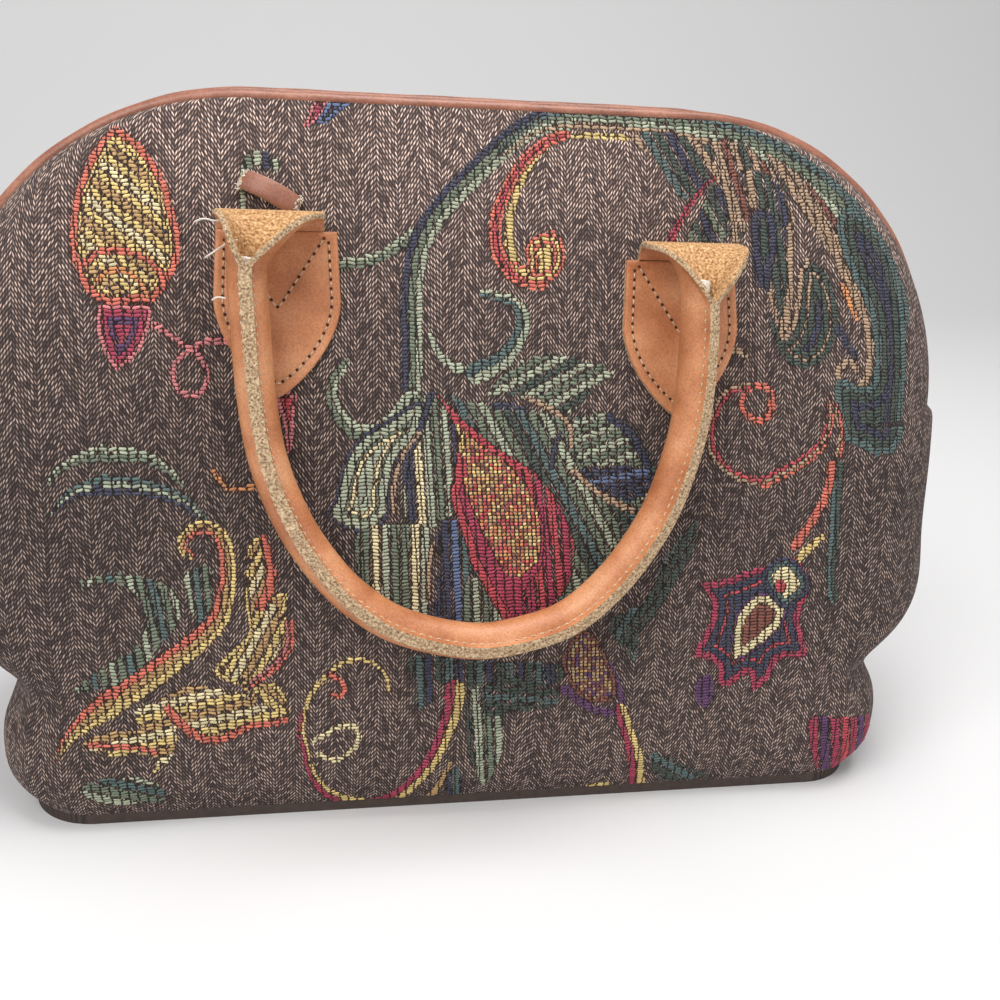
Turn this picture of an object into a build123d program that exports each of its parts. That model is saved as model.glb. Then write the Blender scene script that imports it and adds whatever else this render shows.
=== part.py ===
from build123d import *
import math
import os

# Dome-top tapestry handbag. Millimetres, +Z up, X across the width, the front faces -Y.
# The origin is the middle of the base, on the surface that the bag stands on.

# Body of the bag, measured on the outer face of the cloth
half_width = 184.0
top_height = 252.0
shoulder_radius = 104.0
flank_corner = 36.0
pinch_height = 50.0
pinch_overhang = 3.0
pinch_corner = 32.0
ear_height = 24.0
ear_overhang = 10.0
ear_corner = 30.0
belly_height = 25.0
belly_half_depth = 73.0
top_half_depth = 22.0
base_half_width = 162.0
base_half_depth = 67.0
base_corner = 24.0
cloth = 2.4
seam_gap = 0.3

# Rows of the body between the named ones, as shares of the step in height and in width
lower_row_shares = (0.36, 0.66)
ear_row_shares = (0.62, 0.45)
fold_row_shares = (0.24, 0.56)
shoulder_row_shares = (0, 0.22, 0.44, 0.64, 0.82, 1)

# Heights of the two rows of full width, as shares of the way up from the pinch to the shoulder
flank_row_share = 0.51
upper_row_share = 0.775

# Base, board and lining
base_thickness = 4.0
board_thickness = 3.0
board_clearance = 0.6
lining_gap = 0.8
lining = 0.8

# Piping and zip
gusset_half_depth = 17.0
least_corner = 3.4
piping_radius = 2.6
piping_clearance = 0.15
piping_bend_drop = 20.0
piping_end_drop = 28.0
piping_end_half_gap = 3.0
piping_bend_radius = 25.0
tape_thickness = 1.2
tape_end_lift = 3.0
tape_inner = 2.7
teeth_half_depth = 2.4
teeth_thickness = 3.0
teeth_rise = 1.2
teeth_carrier = 1.1
teeth_pitch = 5.0
tooth_width = 2.0
tooth_reach = 0.8
zip_clearance = 0.3
stop_height = 3.0
stop_half_depth = 3.4
stop_thickness = 1.2
end_tab_thickness = 1.8
end_tab_gap = 0.4
end_tab_tip = 1.2

# Zip slider and pull, on the right shoulder
slider_length = 9.0
slider_half_depth = 4.6
slider_wall = 1.2
slider_lug_length = 5.0
slider_lug_half_depth = 1.5
slider_lug_height = 4.0
pull_pin_radius = 0.7
pull_clearance = 0.3
pull_length = 26.0
pull_thickness = 1.2
pull_half_width = 3.2
pull_cheek = 1.0
pull_slot_length = 6.0
pull_ring_radius = 1.9

# Leather of the handles and their patches
leather = 2.2
patch_centre = 69.0
patch_top_drop = 39.0
patch_height = 62.0
patch_half_width = 21.6
patch_top_half_width = 20.6
patch_side_share = 0.42
patch_turn_shares = (0.76, 0.78)
lip_radius = 4.5
lip_reach = 3.5

# Rolled handle
tube_radius = 6.4
core_radius = 4.0
core_clearance = 0.1
seam_half_thickness = 2.1
seam_rise = 9.2
seam_notch = 0.6
seam_turn = 30.0
leg_half_span = 75.0
leg_foot_half_span = 71.5
leg_tilt = 9.5
mouth_tilt = 62.0
mouth_chord = 27.0
mouth_gap = 0.6
mouth_overlap = 1.5
handle_drop = 121.0
handle_bend_radius = 70.5

# Mouth of the handle, from the lip to the leg: share of the way, half width, depth and
# rise of the two edges over the middle line, as shares of patch_half_width and tube_radius
mouth_way_shares = (0, 0.34, 0.68, 1)
mouth_width_shares = (0.92, 0.72, 0.44, 0.13)
mouth_depth_shares = (0.7, 0.9, 1.0, 1.0)
mouth_rise_shares = (-0.35, 0.6, 1.0, 0.95)

# Keeper loop above the left patch
keeper_half_length = 11.0
keeper_foot = 4.5
keeper_rise = 4.0
keeper_width = 9.0
keeper_thickness = 1.5
keeper_lift = 13.0
keeper_clearance = 0.2
keeper_slope = 4.5

overrun = 60.0

# Places that follow from the sizes above
pinch_half_width = base_half_width + pinch_overhang
ear_half_width = base_half_width + ear_overhang
shoulder_height = top_height - shoulder_radius
dome_half_width = half_width - shoulder_radius
flank_height = pinch_height + (shoulder_height - pinch_height) * flank_row_share
upper_height = pinch_height + (shoulder_height - pinch_height) * upper_row_share
piping_bend_height = shoulder_height - piping_bend_drop
piping_end_height = piping_bend_height - piping_end_drop
tape_end_height = piping_bend_height + tape_end_lift
patch_top_height = top_height - patch_top_drop
top_climb = top_height - belly_height
top_set_back = belly_half_depth - top_half_depth
profile_radius = (top_climb**2 + top_set_back**2) / (2 * top_set_back)


def half_depth(height):
    """Half the depth of the bag at its middle, on one long arc from the belly to the top."""
    climb = max(0, height - belly_height)
    return belly_half_depth - profile_radius + math.sqrt(profile_radius**2 - climb**2)


def panel_lean(height):
    """Degrees that the front face leans back at a height."""
    return math.degrees(math.asin((height - belly_height) / profile_radius))


def row_between(low, high, shares):
    """A row of the body between two others: share of the height, then share of the width."""
    up, out = shares
    height = low[0] + (high[0] - low[0]) * up
    width, depth, corner = (a + (b - a) * out for a, b in zip(low[1:], high[1:]))
    return (height, width, half_depth(height) if height > belly_height else depth, corner)


def body_rows(skin):
    """Height, half width, half depth and corner radius of each row of the body."""
    base = (base_thickness, base_half_width, base_half_depth, base_corner)
    ear = (ear_height, ear_half_width, belly_half_depth, ear_corner)
    pinch = (pinch_height, pinch_half_width, half_depth(pinch_height), pinch_corner)
    flank = (flank_height, half_width, half_depth(flank_height), flank_corner)
    upper = (upper_height, half_width, half_depth(upper_height), flank_corner)
    rows = [base, row_between(base, ear, lower_row_shares), ear, row_between(ear, pinch, ear_row_shares)]
    rows += [pinch, row_between(pinch, flank, fold_row_shares), flank, upper]
    for share in shoulder_row_shares:
        turn = math.radians(90 * share)
        height = shoulder_height + (shoulder_radius + skin) * math.sin(turn)
        width = dome_half_width + (shoulder_radius + skin) * math.cos(turn) - skin
        depth = half_depth(min(height, top_height))
        rows.append((height, width, depth, max(depth - gusset_half_depth, least_corner)))
    return rows


def body_form(skin):
    """The closed form of the bag, grown by a skin on every wall and at the top."""
    faces = []
    for height, width, depth, corner in body_rows(skin):
        outline = RectangleRounded(2 * (width + skin), 2 * (depth + skin), corner + skin)
        faces.append(Plane.XY.offset(height) * outline)
    return loft(faces)


def dome_face(skin, foot):
    """Front view of the dome, down to a foot height, grown by a skin."""
    side = half_width + skin
    top = top_height + skin
    left = Line((-side, foot), (-side, shoulder_height))
    left_turn = RadiusArc(left @ 1, (-dome_half_width, top), shoulder_radius + skin)
    crown = Line(left_turn @ 1, (dome_half_width, top))
    right_turn = RadiusArc(crown @ 1, (side, shoulder_height), shoulder_radius + skin)
    right = Line(right_turn @ 1, (side, foot))
    sill = Line(right @ 1, left @ 0)
    return Plane.XZ * make_face(Curve() + [left, left_turn, crown, right_turn, right, sill])


def dome_band(inner, outer, foot, near, far):
    """A strip that follows the dome, between two skins and two depths."""
    ring = extrude(dome_face(outer, foot) - dome_face(inner, foot), far - near, dir=(0, 1, 0))
    return Pos(0, near, 0) * ring


def back_of(shape):
    """The same piece on the back of the bag."""
    return Rot(0, 0, 180) * shape


def piping_path():
    """Line of the front bead: round the dome and in to the end of the zip on both sides."""
    end = (half_width, -piping_end_half_gap, piping_end_height)
    bend = (half_width, -gusset_half_depth, piping_bend_height)
    crown = (half_width, -gusset_half_depth, top_height)
    right = [crown, bend, end]
    left = [(-x, y, z) for x, y, z in reversed(right)]
    radii = (piping_bend_radius, shoulder_radius, shoulder_radius, piping_bend_radius)
    return FilletPolyline(*left, *right, radius=radii)


def tube(path, radius):
    """A round tube along a path."""
    start = Plane(origin=path @ 0, z_dir=path % 0)
    return sweep(start * Circle(radius), path=path)


def piping_lean():
    """Turn of the beads off the upright where they run in to the end of the zip."""
    return math.atan2(gusset_half_depth - piping_end_half_gap, piping_bend_height - piping_end_height)


def zip_slot():
    """Room in the body for the beads, the zip and its end tabs, right across the width."""
    lean = piping_lean()
    side = gusset_half_depth + (piping_radius + piping_clearance) / math.cos(lean)
    foot = piping_end_height - piping_radius
    foot_side = side - (piping_bend_height - foot) * math.tan(lean)
    outline = Polyline(
        (-foot_side, foot),
        (foot_side, foot),
        (side, piping_bend_height),
        (side, top_height + overrun),
        (-side, top_height + overrun),
        (-side, piping_bend_height),
        close=True,
    )
    return extrude(Plane.YZ * make_face(outline), half_width + overrun, both=True)


def front_half():
    """Everything in front of the side seams."""
    side = half_width + overrun
    box = Box(2 * side, side, 2 * (top_height + overrun), align=(Align.CENTER, Align.MAX, Align.CENTER))
    return Pos(0, -seam_gap / 2, 0) * box


def make_panel(outer):
    """Front tapestry panel with its wrapped corners, open along the zip."""
    shell = outer - body_form(-cloth)
    return (shell & front_half()) - zip_slot()


def make_lining():
    """One thin inner bag that stands on the board and is open under the zip."""
    floor_height = base_thickness + board_thickness
    side = half_width + overrun
    above = Box(2 * side, 2 * side, 2 * top_height, align=(Align.CENTER, Align.CENTER, Align.MIN))
    outside = body_form(-cloth - lining_gap) & Pos(0, 0, floor_height) * above
    inside = body_form(-cloth - lining_gap - lining) & Pos(0, 0, floor_height + lining) * above
    return outside - inside - zip_slot()


def make_base():
    """Base panel and the board that lies on it, inside the walls."""
    panel = extrude(RectangleRounded(2 * base_half_width, 2 * base_half_depth, base_corner), base_thickness)
    inset = cloth + board_clearance
    outline = RectangleRounded(2 * (base_half_width - inset), 2 * (base_half_depth - inset), base_corner - inset)
    board = extrude(Plane.XY.offset(base_thickness) * outline, board_thickness)
    return panel, board


def tooth_places():
    """Places along the dome, one pitch apart, with X along the zip and Z outward."""
    straight = shoulder_height - tape_end_height - 2 * stop_height
    turn = shoulder_radius * math.pi / 2
    crown = 2 * dome_half_width
    length = 2 * straight + 2 * turn + crown
    count = int(length / teeth_pitch)
    places = []
    for index in range(count):
        way = (index + 1 / 2) * length / count
        if way < straight:
            places.append(Pos(-half_width, 0, shoulder_height - straight + way) * Rot(0, -90, 0))
        elif way < straight + turn:
            angle = math.degrees((way - straight) / shoulder_radius)
            centre = Pos(-dome_half_width, 0, shoulder_height)
            places.append(centre * Rot(0, angle - 90, 0) * Pos(0, 0, shoulder_radius))
        elif way < straight + turn + crown:
            places.append(Pos(way - straight - turn - dome_half_width, 0, top_height))
        elif way < straight + 2 * turn + crown:
            angle = math.degrees((way - straight - turn - crown) / shoulder_radius)
            centre = Pos(dome_half_width, 0, shoulder_height)
            places.append(centre * Rot(0, angle, 0) * Pos(0, 0, shoulder_radius))
        else:
            drop = way - straight - 2 * turn - crown
            places.append(Pos(half_width, 0, shoulder_height - drop) * Rot(0, 90, 0))
    return places


def make_teeth(places):
    """One row of teeth on its carrier cord. The other row fills the gaps between them."""
    low = teeth_rise - teeth_thickness / 2
    high = teeth_rise + teeth_thickness / 2
    foot = tape_end_height + 2 * stop_height
    carrier = dome_band(low, high, foot, -teeth_half_depth, teeth_carrier - teeth_half_depth)
    tooth = Box(
        tooth_width,
        teeth_half_depth + tooth_reach,
        teeth_thickness,
        align=(Align.CENTER, Align.MIN, Align.CENTER),
    )
    tooth = Pos(0, -teeth_half_depth, teeth_rise) * tooth
    return carrier + [place * tooth for place in places]


def make_stop(side):
    """Metal stop over one end of the teeth."""
    height = tape_end_height + stop_height / 2
    reach = teeth_rise + teeth_thickness / 2 + stop_thickness
    block = Box(reach, 2 * stop_half_depth, stop_height, align=(Align.MIN, Align.CENTER, Align.CENTER))
    block = Pos(half_width + tape_thickness / 2, 0, height) * block
    return block if side > 0 else back_of(block)


def make_end_tab(side):
    """Leather wedge that fills the V where the two beads run together."""
    lean = piping_lean()
    room = (piping_radius + end_tab_gap) / math.cos(lean)
    top = tape_end_height - end_tab_gap
    wide = piping_end_half_gap + (piping_bend_height - piping_end_height) * math.tan(lean) - room
    tip = piping_end_height + (end_tab_tip + room - piping_end_half_gap) / math.tan(lean)
    shoulder = gusset_half_depth - piping_radius - end_tab_gap
    outline = Polyline(
        (-end_tab_tip, tip),
        (end_tab_tip, tip),
        (wide, piping_bend_height),
        (shoulder, top),
        (-shoulder, top),
        (-wide, piping_bend_height),
        close=True,
    )
    wedge = extrude(Plane.YZ * make_face(outline), end_tab_thickness / 2, both=True)
    return Pos(side * half_width, 0, 0) * wedge


def make_slider():
    """Saddle that rides over the teeth, with a drilled lug for the pull. It lies flat at the origin:
    X along the zip, Z outward."""
    roof = teeth_rise + teeth_thickness / 2 + zip_clearance
    foot = tape_thickness / 2 + zip_clearance
    inner = teeth_half_depth + zip_clearance
    lower = (Align.CENTER, Align.CENTER, Align.MIN)
    saddle = Pos(0, 0, foot) * Box(slider_length, 2 * slider_half_depth, roof + slider_wall - foot, align=lower)
    corners = saddle.edges().filter_by(Axis.Z)
    saddle = fillet(corners, slider_wall)
    saddle -= Pos(0, 0, -foot) * Box(slider_length + overrun, 2 * inner, roof + foot, align=lower)
    lug = Box(slider_lug_length, 2 * slider_lug_half_depth, slider_lug_height, align=lower)
    lug = fillet(lug.edges().filter_by(Axis.Y).group_by(Axis.Z)[-1], slider_lug_half_depth)
    lug = Pos(0, 0, roof + slider_wall) * lug
    hole = Rot(90, 0, 0) * Cylinder(pull_pin_radius + pull_clearance, overrun)
    return saddle + (lug - pull_pivot_place() * hole)


def pull_pivot_place():
    """Pivot of the pull over the lying slider."""
    roof = teeth_rise + teeth_thickness / 2 + zip_clearance + slider_wall
    return Pos(0, 0, roof + slider_lug_height / 2 + pull_clearance)


def make_pull():
    """Flat pull with a fork and a pin through the lug, along +X of the lying slider."""
    cheek_out = slider_lug_half_depth + pull_clearance + pull_cheek
    slot_end = slider_lug_length / 2 + pull_clearance + pull_slot_length / 2
    blade = SlotOverall(pull_length, 2 * pull_half_width)
    blade = extrude(Pos(slot_end + pull_length / 2, 0) * blade, pull_thickness / 2, both=True)
    fork = Box(slot_end + pull_half_width, 2 * cheek_out, pull_thickness, align=(Align.MIN, Align.CENTER, Align.CENTER))
    eyes = Rot(90, 0, 0) * Cylinder(pull_ring_radius, 2 * cheek_out)
    gap = Box(
        2 * slot_end,
        2 * (slider_lug_half_depth + pull_clearance),
        overrun,
    )
    pin = Rot(90, 0, 0) * Cylinder(pull_pin_radius, 2 * cheek_out)
    return pull_pivot_place() * ((blade + fork + eyes - gap) + pin)


def surface_plane(height, x):
    """Plane on the front face: X along the bag, Y up the cloth, Z outward."""
    lean = math.radians(panel_lean(height))
    outward = (0, -math.cos(lean), math.sin(lean))
    return Plane(origin=(x, -half_depth(height), height), x_dir=(1, 0, 0), z_dir=outward)


def lip_centre():
    """Centre of the bend at the top of the patches, in the YZ plane."""
    lean = math.radians(panel_lean(patch_top_height))
    out = leather / 2 + lip_radius
    return (-half_depth(patch_top_height) - out * math.cos(lean), patch_top_height + out * math.sin(lean))


def hinge_line():
    """Y and Z of the line that the front handle swings about, at the end of the lips."""
    y, z = lip_centre()
    return (y - lip_reach, z + lip_radius)


def leaf_outline():
    """Leaf shape of a patch: its top edge at zero, its tip below."""
    side_height = -patch_height * patch_side_share
    turn_out, turn_down = patch_turn_shares
    turn = (patch_half_width * turn_out, -patch_height * turn_down)
    right = Line((patch_top_half_width, 0), (patch_half_width, side_height))
    right_turn = ThreePointArc(right @ 1, turn, (0, -patch_height))
    left_turn = ThreePointArc(right_turn @ 1, (-turn[0], turn[1]), (-patch_half_width, side_height))
    left = Line(left_turn @ 1, (-patch_top_half_width, 0))
    top = Line(left @ 1, right @ 0)
    return make_face(Curve() + [right, right_turn, left_turn, left, top])


def lip_face():
    """Side view of the bend at the top of a patch, from the panel out to the hinge line."""
    y, z = lip_centre()
    lean = math.radians(panel_lean(patch_top_height))
    half_way = (math.pi / 2 - lean) / 2
    sides = []
    for radius in (lip_radius + leather / 2, lip_radius - leather / 2):
        start = (y + radius * math.cos(lean), z - radius * math.sin(lean))
        middle = (y + radius * math.cos(half_way), z + radius * math.sin(half_way))
        bend = ThreePointArc(start, middle, (y, z + radius))
        sides.append((bend, Line(bend @ 1, (y - lip_reach, z + radius))))
    (far, far_reach), (near, near_reach) = sides
    ends = [Line(far_reach @ 1, near_reach @ 1), Line(far @ 0, near @ 0)]
    return Plane.YZ * make_face(Curve() + [far, far_reach, near, near_reach, *ends])


def make_patch(side, outer, coat):
    """Leaf sewn flat on the panel, whose top bends out to a rolled lip."""
    plane = surface_plane(patch_top_height, side * patch_centre)
    prism = extrude(plane * leaf_outline(), lip_radius + lip_reach, both=True)
    lip = extrude(lip_face(), patch_top_half_width, both=True)
    roll = Pos(0, *hinge_line()) * Rot(0, 90, 0) * Cylinder(leather / 2, 2 * patch_top_half_width)
    bend = Pos(side * patch_centre, 0, 0) * (lip + roll)
    return ((coat & prism) + bend) - outer


def mouth_point(share):
    """Y, Z and tilt of the middle of the mouth, on an arc from the lip to the leg."""
    tilt = mouth_tilt + (leg_tilt - mouth_tilt) * share
    first = math.radians(mouth_tilt)
    here = math.radians(tilt)
    radius = mouth_chord / (2 * math.sin((first - math.radians(leg_tilt)) / 2))
    y, z = hinge_line()
    out = radius * (math.cos(here) - math.cos(first))
    down = radius * (math.sin(first) - math.sin(here))
    start_out = (leather / 2 + mouth_gap) * math.sin(first)
    start_down = (leather / 2 + mouth_gap) * math.cos(first)
    return y - start_out - out, z - start_down - down, tilt


def mouth_section(way, width, depth, rise):
    """One open section of the mouth: a leather band curled round the line of the handle."""
    y, z, tilt = mouth_point(way)
    along = math.radians(tilt)
    x = patch_centre + (leg_half_span - patch_centre) * way
    plane = Plane(origin=(x, y, z), x_dir=(1, 0, 0), z_dir=(0, -math.sin(along), -math.cos(along)))
    half = patch_half_width * width
    low = tube_radius * depth
    high = tube_radius * rise
    sag = low + high
    radius = (half**2 + sag**2) / (2 * sag)
    centre = radius - low
    turn = math.atan2(half, centre - high)
    sides = []
    for reach in (radius, radius - leather):
        edge = (reach * math.sin(turn), centre - reach * math.cos(turn))
        sides.append(ThreePointArc((-edge[0], edge[1]), (0, centre - reach), edge))
    outside, inside = sides
    ends = [Line(outside @ 0, inside @ 0), Line(outside @ 1, inside @ 1)]
    band = make_face(Curve() + [outside, inside, *ends])
    return plane * Rot(0, 0, -seam_turn * way) * band


def handle_path():
    """Line of the rolled handle: down the right leg, round the bend and up the left leg."""
    y, z, tilt = mouth_point(1)
    lean = math.radians(tilt)
    plane = Plane(origin=(0, y, z), x_dir=(1, 0, 0), z_dir=(0, -math.cos(lean), math.sin(lean)))
    right = [(leg_half_span, mouth_overlap), (leg_foot_half_span, -handle_drop)]
    left = [(-x, y) for x, y in reversed(right)]
    return plane * FilletPolyline(*right, *left, radius=handle_bend_radius), plane


def make_handle():
    """Leather rolled round a core, its two raw edges standing up as a seam, and a mouth at each end."""
    path, plane = handle_path()
    start = Plane(origin=path @ 0, x_dir=plane.z_dir.cross(path % 0), z_dir=path % 0)
    seam = Pos(0, seam_rise / 2) * Rectangle(2 * seam_half_thickness, seam_rise)
    notch = Pos(0, seam_rise) * Rectangle(seam_notch, 2 * seam_notch)
    profile = Circle(tube_radius) + seam - notch
    roll = sweep(start * Rot(0, 0, seam_turn) * profile, path=path)
    core = sweep(start * Circle(core_radius), path=path)
    core_room = sweep(start * Circle(core_radius + core_clearance), path=path)
    rows = zip(mouth_way_shares, mouth_width_shares, mouth_depth_shares, mouth_rise_shares)
    mouth = loft([mouth_section(*row) for row in rows])
    mouths = [mouth - core_room, mirror(mouth, Plane.YZ) - core_room]
    return (roll - core_room) + mouths, core


def make_keeper():
    """Loose leather loop sewn by its two feet above the left patch."""
    low = keeper_clearance
    high = keeper_rise - keeper_thickness
    half_top = keeper_half_length - keeper_slope
    right = [(half_top, high), (keeper_half_length, low), (keeper_half_length + keeper_foot, low)]
    under = [(-x, z) for x, z in reversed(right)] + right
    over = [(x, z + keeper_thickness) for x, z in reversed(under)]
    profile = make_face(Polyline(*under, *over, close=True))
    plane = surface_plane(patch_top_height + keeper_lift, -patch_centre)
    side_on = Plane(origin=plane.origin, x_dir=plane.x_dir, z_dir=-plane.y_dir)
    return extrude(side_on * profile, keeper_width / 2, both=True)


def slider_place():
    """The slider's place on the right shoulder, where the zip is closed."""
    return Pos(half_width, 0, shoulder_height) * Rot(0, 90, 0)


def main():
    os.makedirs("parts", exist_ok=True)
    outer = body_form(0)
    coat = body_form(leather)
    piping = tube(piping_path(), piping_radius)
    panel = make_panel(outer)
    base_panel, base_board = make_base()
    tape_near = gusset_half_depth - piping_radius - piping_clearance
    tape = dome_band(-tape_thickness / 2, tape_thickness / 2, tape_end_height, -tape_near, -tape_inner)
    places = tooth_places()
    teeth = make_teeth(places[::2])
    other_teeth = mirror(make_teeth(places[1::2]), Plane.XZ)
    left_patch = make_patch(-1, outer, coat)
    right_patch = make_patch(1, outer, coat)
    handle, core = make_handle()
    parts = {
        "front_panel": panel,
        "back_panel": back_of(panel),
        "lining": make_lining(),
        "base_panel": base_panel,
        "base_board": base_board,
        "front_piping": piping,
        "back_piping": back_of(piping),
        "front_zip_tape": tape,
        "back_zip_tape": back_of(tape),
        "front_zip_teeth": teeth,
        "back_zip_teeth": other_teeth,
        "left_zip_stop": make_stop(-1),
        "right_zip_stop": make_stop(1),
        "left_zip_end_tab": make_end_tab(-1),
        "right_zip_end_tab": make_end_tab(1),
        "zip_slider": slider_place() * make_slider(),
        "zip_pull": slider_place() * make_pull(),
        "front_left_patch": left_patch,
        "front_right_patch": right_patch,
        "back_left_patch": back_of(right_patch),
        "back_right_patch": back_of(left_patch),
        "keeper_loop": make_keeper(),
        "front_handle": handle,
        "front_handle_core": core,
        "back_handle": back_of(handle),
        "back_handle_core": back_of(core),
    }
    for name, shape in parts.items():
        export_step(shape, f"parts/{name}.step")


main()
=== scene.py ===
import math

import bpy
import numpy as np
from mathutils import Matrix, Vector


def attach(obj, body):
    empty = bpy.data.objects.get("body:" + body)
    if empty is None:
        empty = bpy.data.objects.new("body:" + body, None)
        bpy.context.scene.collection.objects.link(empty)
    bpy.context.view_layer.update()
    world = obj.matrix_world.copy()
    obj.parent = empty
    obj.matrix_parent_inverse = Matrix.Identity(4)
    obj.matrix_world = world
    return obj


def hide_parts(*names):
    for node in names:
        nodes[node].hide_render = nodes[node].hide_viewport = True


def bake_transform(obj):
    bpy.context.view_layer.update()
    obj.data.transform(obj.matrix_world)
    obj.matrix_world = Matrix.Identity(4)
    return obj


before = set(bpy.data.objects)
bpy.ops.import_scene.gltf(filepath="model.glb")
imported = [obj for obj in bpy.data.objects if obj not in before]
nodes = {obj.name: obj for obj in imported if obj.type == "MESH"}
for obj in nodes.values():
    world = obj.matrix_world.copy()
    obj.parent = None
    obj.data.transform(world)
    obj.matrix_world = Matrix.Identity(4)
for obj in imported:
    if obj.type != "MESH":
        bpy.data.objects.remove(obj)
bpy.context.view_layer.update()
rng = np.random.default_rng(11)
MM = 0.001

# Sizes of the bag in millimetres, the same as the solids have
half_width = 184.0
top_height = 252.0
shoulder_radius = 104.0
shoulder_height = top_height - shoulder_radius
dome_half_width = half_width - shoulder_radius
belly_height, belly_half_depth, top_half_depth = 25.0, 73.0, 22.0
top_climb, top_set_back = top_height - belly_height, belly_half_depth - top_half_depth
profile_radius = (top_climb**2 + top_set_back**2) / (2 * top_set_back)
base_tuck, base_thickness = 6.0, 4.0
gusset_half_depth, least_corner = 17.0, 3.4
slot_half_depth = 19.9
slot_bend_height, slot_foot_height, slot_foot_half = 128.0, 97.4, 4.6
side_seam_half = 0.2
leather = 2.2
lip_radius, lip_reach = 4.5, 3.5
tube_radius, core_radius = 6.4, 3.6
leg_tilt, mouth_tilt, mouth_chord = 9.5, 62.0, 27.0
leg_top_y, leg_top_z = -64.0, 197.0
# Rows of the lower body: height, half width, corner radius
body_rows = np.array([
    (4.0, 162.0, 24.0), (11.2, 168.6, 28.0), (24.0, 172.0, 30.0), (40.1, 168.9, 30.9), (50.0, 165.0, 32.0),
    (62.0, 175.6, 34.2), (100.0, 184.0, 36.0), (126.0, 184.0, 36.0), (148.0, 184.0, 35.0),
])

# Cloth: its grid, its slack, and the hem tucked under the bead
panel_columns, panel_low_rows, panel_high_rows = 300, 110, 80
slack_fade, frame_step = 25, 0.4
hem_half_depth, hem_drop = 18.4, 0.5
# Painted light and shade by height on the plain cloth, and painted shade under the yarns of the pattern
painted_light_heights, painted_light_tints = (20, 115, 180, 235), (1.2, 0.85, 1.2, 1.75)
shade_behind_mixed, under_shade_base, under_shade_share = (0.3, 0.2, 0.15), 0.25, 0.9
# Herringbone: columns in a band, size of a fleck along and up the cloth, its slope and stagger
band_columns, fleck_width, fleck_height, fleck_slope, fleck_stagger = 7.0, 1.05, 1.7, 0.9, 0.5
uv_unit = 10

# Fineness of lines, and where the rings of tubes and holes start
curve_points, row_samples, roll_samples, dome_sections, sweep_sections = 6, 4000, 400, 160, 25
tube_start, hole_start = (0.3, 0.5, 0.81), (0.2, 0.9, 0.4)
# Degrees past which an edge shows sharp
strap_sharp, leaf_sharp, tooth_sharp, keeper_sharp = 55, 60, 30, 50

# Trim along the top
piping_radius, piping_bend_height, piping_end_height, piping_end_y = 2.6, 128.0, 100.0, -3.0
piping_sides, piping_end_steps, piping_passes = 20, 30, 40
tooth_pitch, tooth_half, tooth_skin, tooth_foot_height = 1.25, 0.42, 1.2, 137.0
tooth_outline = [(-2.3, -0.9), (-2.3, 0.8), (-1.2, 1.3), (0.5, 1.0), (0.9, 0.2), (0.5, -0.9)]

# Handle. Its ends: middle of the leaf, height of its top, its length down the cloth
strap_ends = {"left": (-70.2, 210.8, 55.4), "right": (70.4, 204.5, 56.0)}
crest_shift, crest_share = 2.0, 0.95
strap_half, edge_round, edge_wobble, edge_seeds = 18.4, 0.25, 0.16, (3, 4)
roll_middle = tube_radius - leather / 2
roll_arc, seam_bend, seam_kick = 15.5, 1.35, 0.8
mouth_bow_share, leg_bow = 0.42, 9
lip_sections, mouth_sections, roll_sections, strap_across = 9, 30, 230, 37
# Sections by which the core reaches into the left and the right mouth
core_past, core_sides = (3, 9), 14
# Middle line of the hanging handle on the picture plane, from the left mouth to the right one
handle_line = [
    (247, 266), (247, 282), (250, 325), (256, 393), (268, 460), (294, 523),
    (328, 572), (362, 604), (406, 628), (474, 641), (531, 632), (575, 613),
    (619, 572), (657, 516), (680, 457), (692, 405), (698, 342), (699, 303),
]
# Turn of the seam off the viewer's side in degrees, by the share of the way along the handle
seam_turns = [
    (0, 2), (0.13, 2), (0.25, 2), (0.35, 6), (0.45, 11),
    (0.58, 14), (0.75, 17), (0.85, 20), (0.93, 22), (1, 20),
]

# Leaves: half widths, share of the length with straight sides, curve of the tip, and rings by scale and rise
leaf_half_width, leaf_top_half_width, leaf_side_share = 20.9, 19.9, 0.42
leaf_rise, leaf_belly, leaf_tip = 2.3, 1.8, 0.85
leaf_rings = [
    (1.0, -0.6), (1.0, 1.5), (0.988, 2.05), (0.965, 2.25), (0.92, 2.2), (0.88, 2.02), (0.855, 1.95),
    (0.83, 2.02), (0.79, 2.2), (0.7, leaf_rise), (0.5, leaf_rise), (0.3, leaf_rise), (0.12, leaf_rise),
]
leaf_points, drop_steps = 120, 60
groove_share, groove_top, vee_share = 0.855, 3.5, 0.46

# Sewing
groove_rise, face_rise = 2.02, 2.32
stitch_pitch, stitch_length, stitch_radius, stitch_sides = 3.0, 2.1, 0.3, 6
stitch_rows = [(-0.5, -1.2, 0.35), (-0.3, 0.25, 0.9), (0, 0.7, 1), (0.3, 0.25, 0.9), (0.5, -1.2, 0.35)]
hole_radius, hole_lift, hole_sides = 0.55, 0.12, 7
seam_inset, seam_lift, seam_samples, seam_ends = 2.2, 0.06, 401, 2
# Loose ends of sewing thread at the left mouth, on the picture plane
thread_ends = [
    [(228, 219), (216, 221), (204, 219), (195, 222)],
    [(238, 240), (228, 243), (217, 250), (205, 258)],
    [(226, 298), (218, 297), (212, 300)],
]
thread_end_radius, thread_end_stand = 0.3, 2.0

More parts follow.
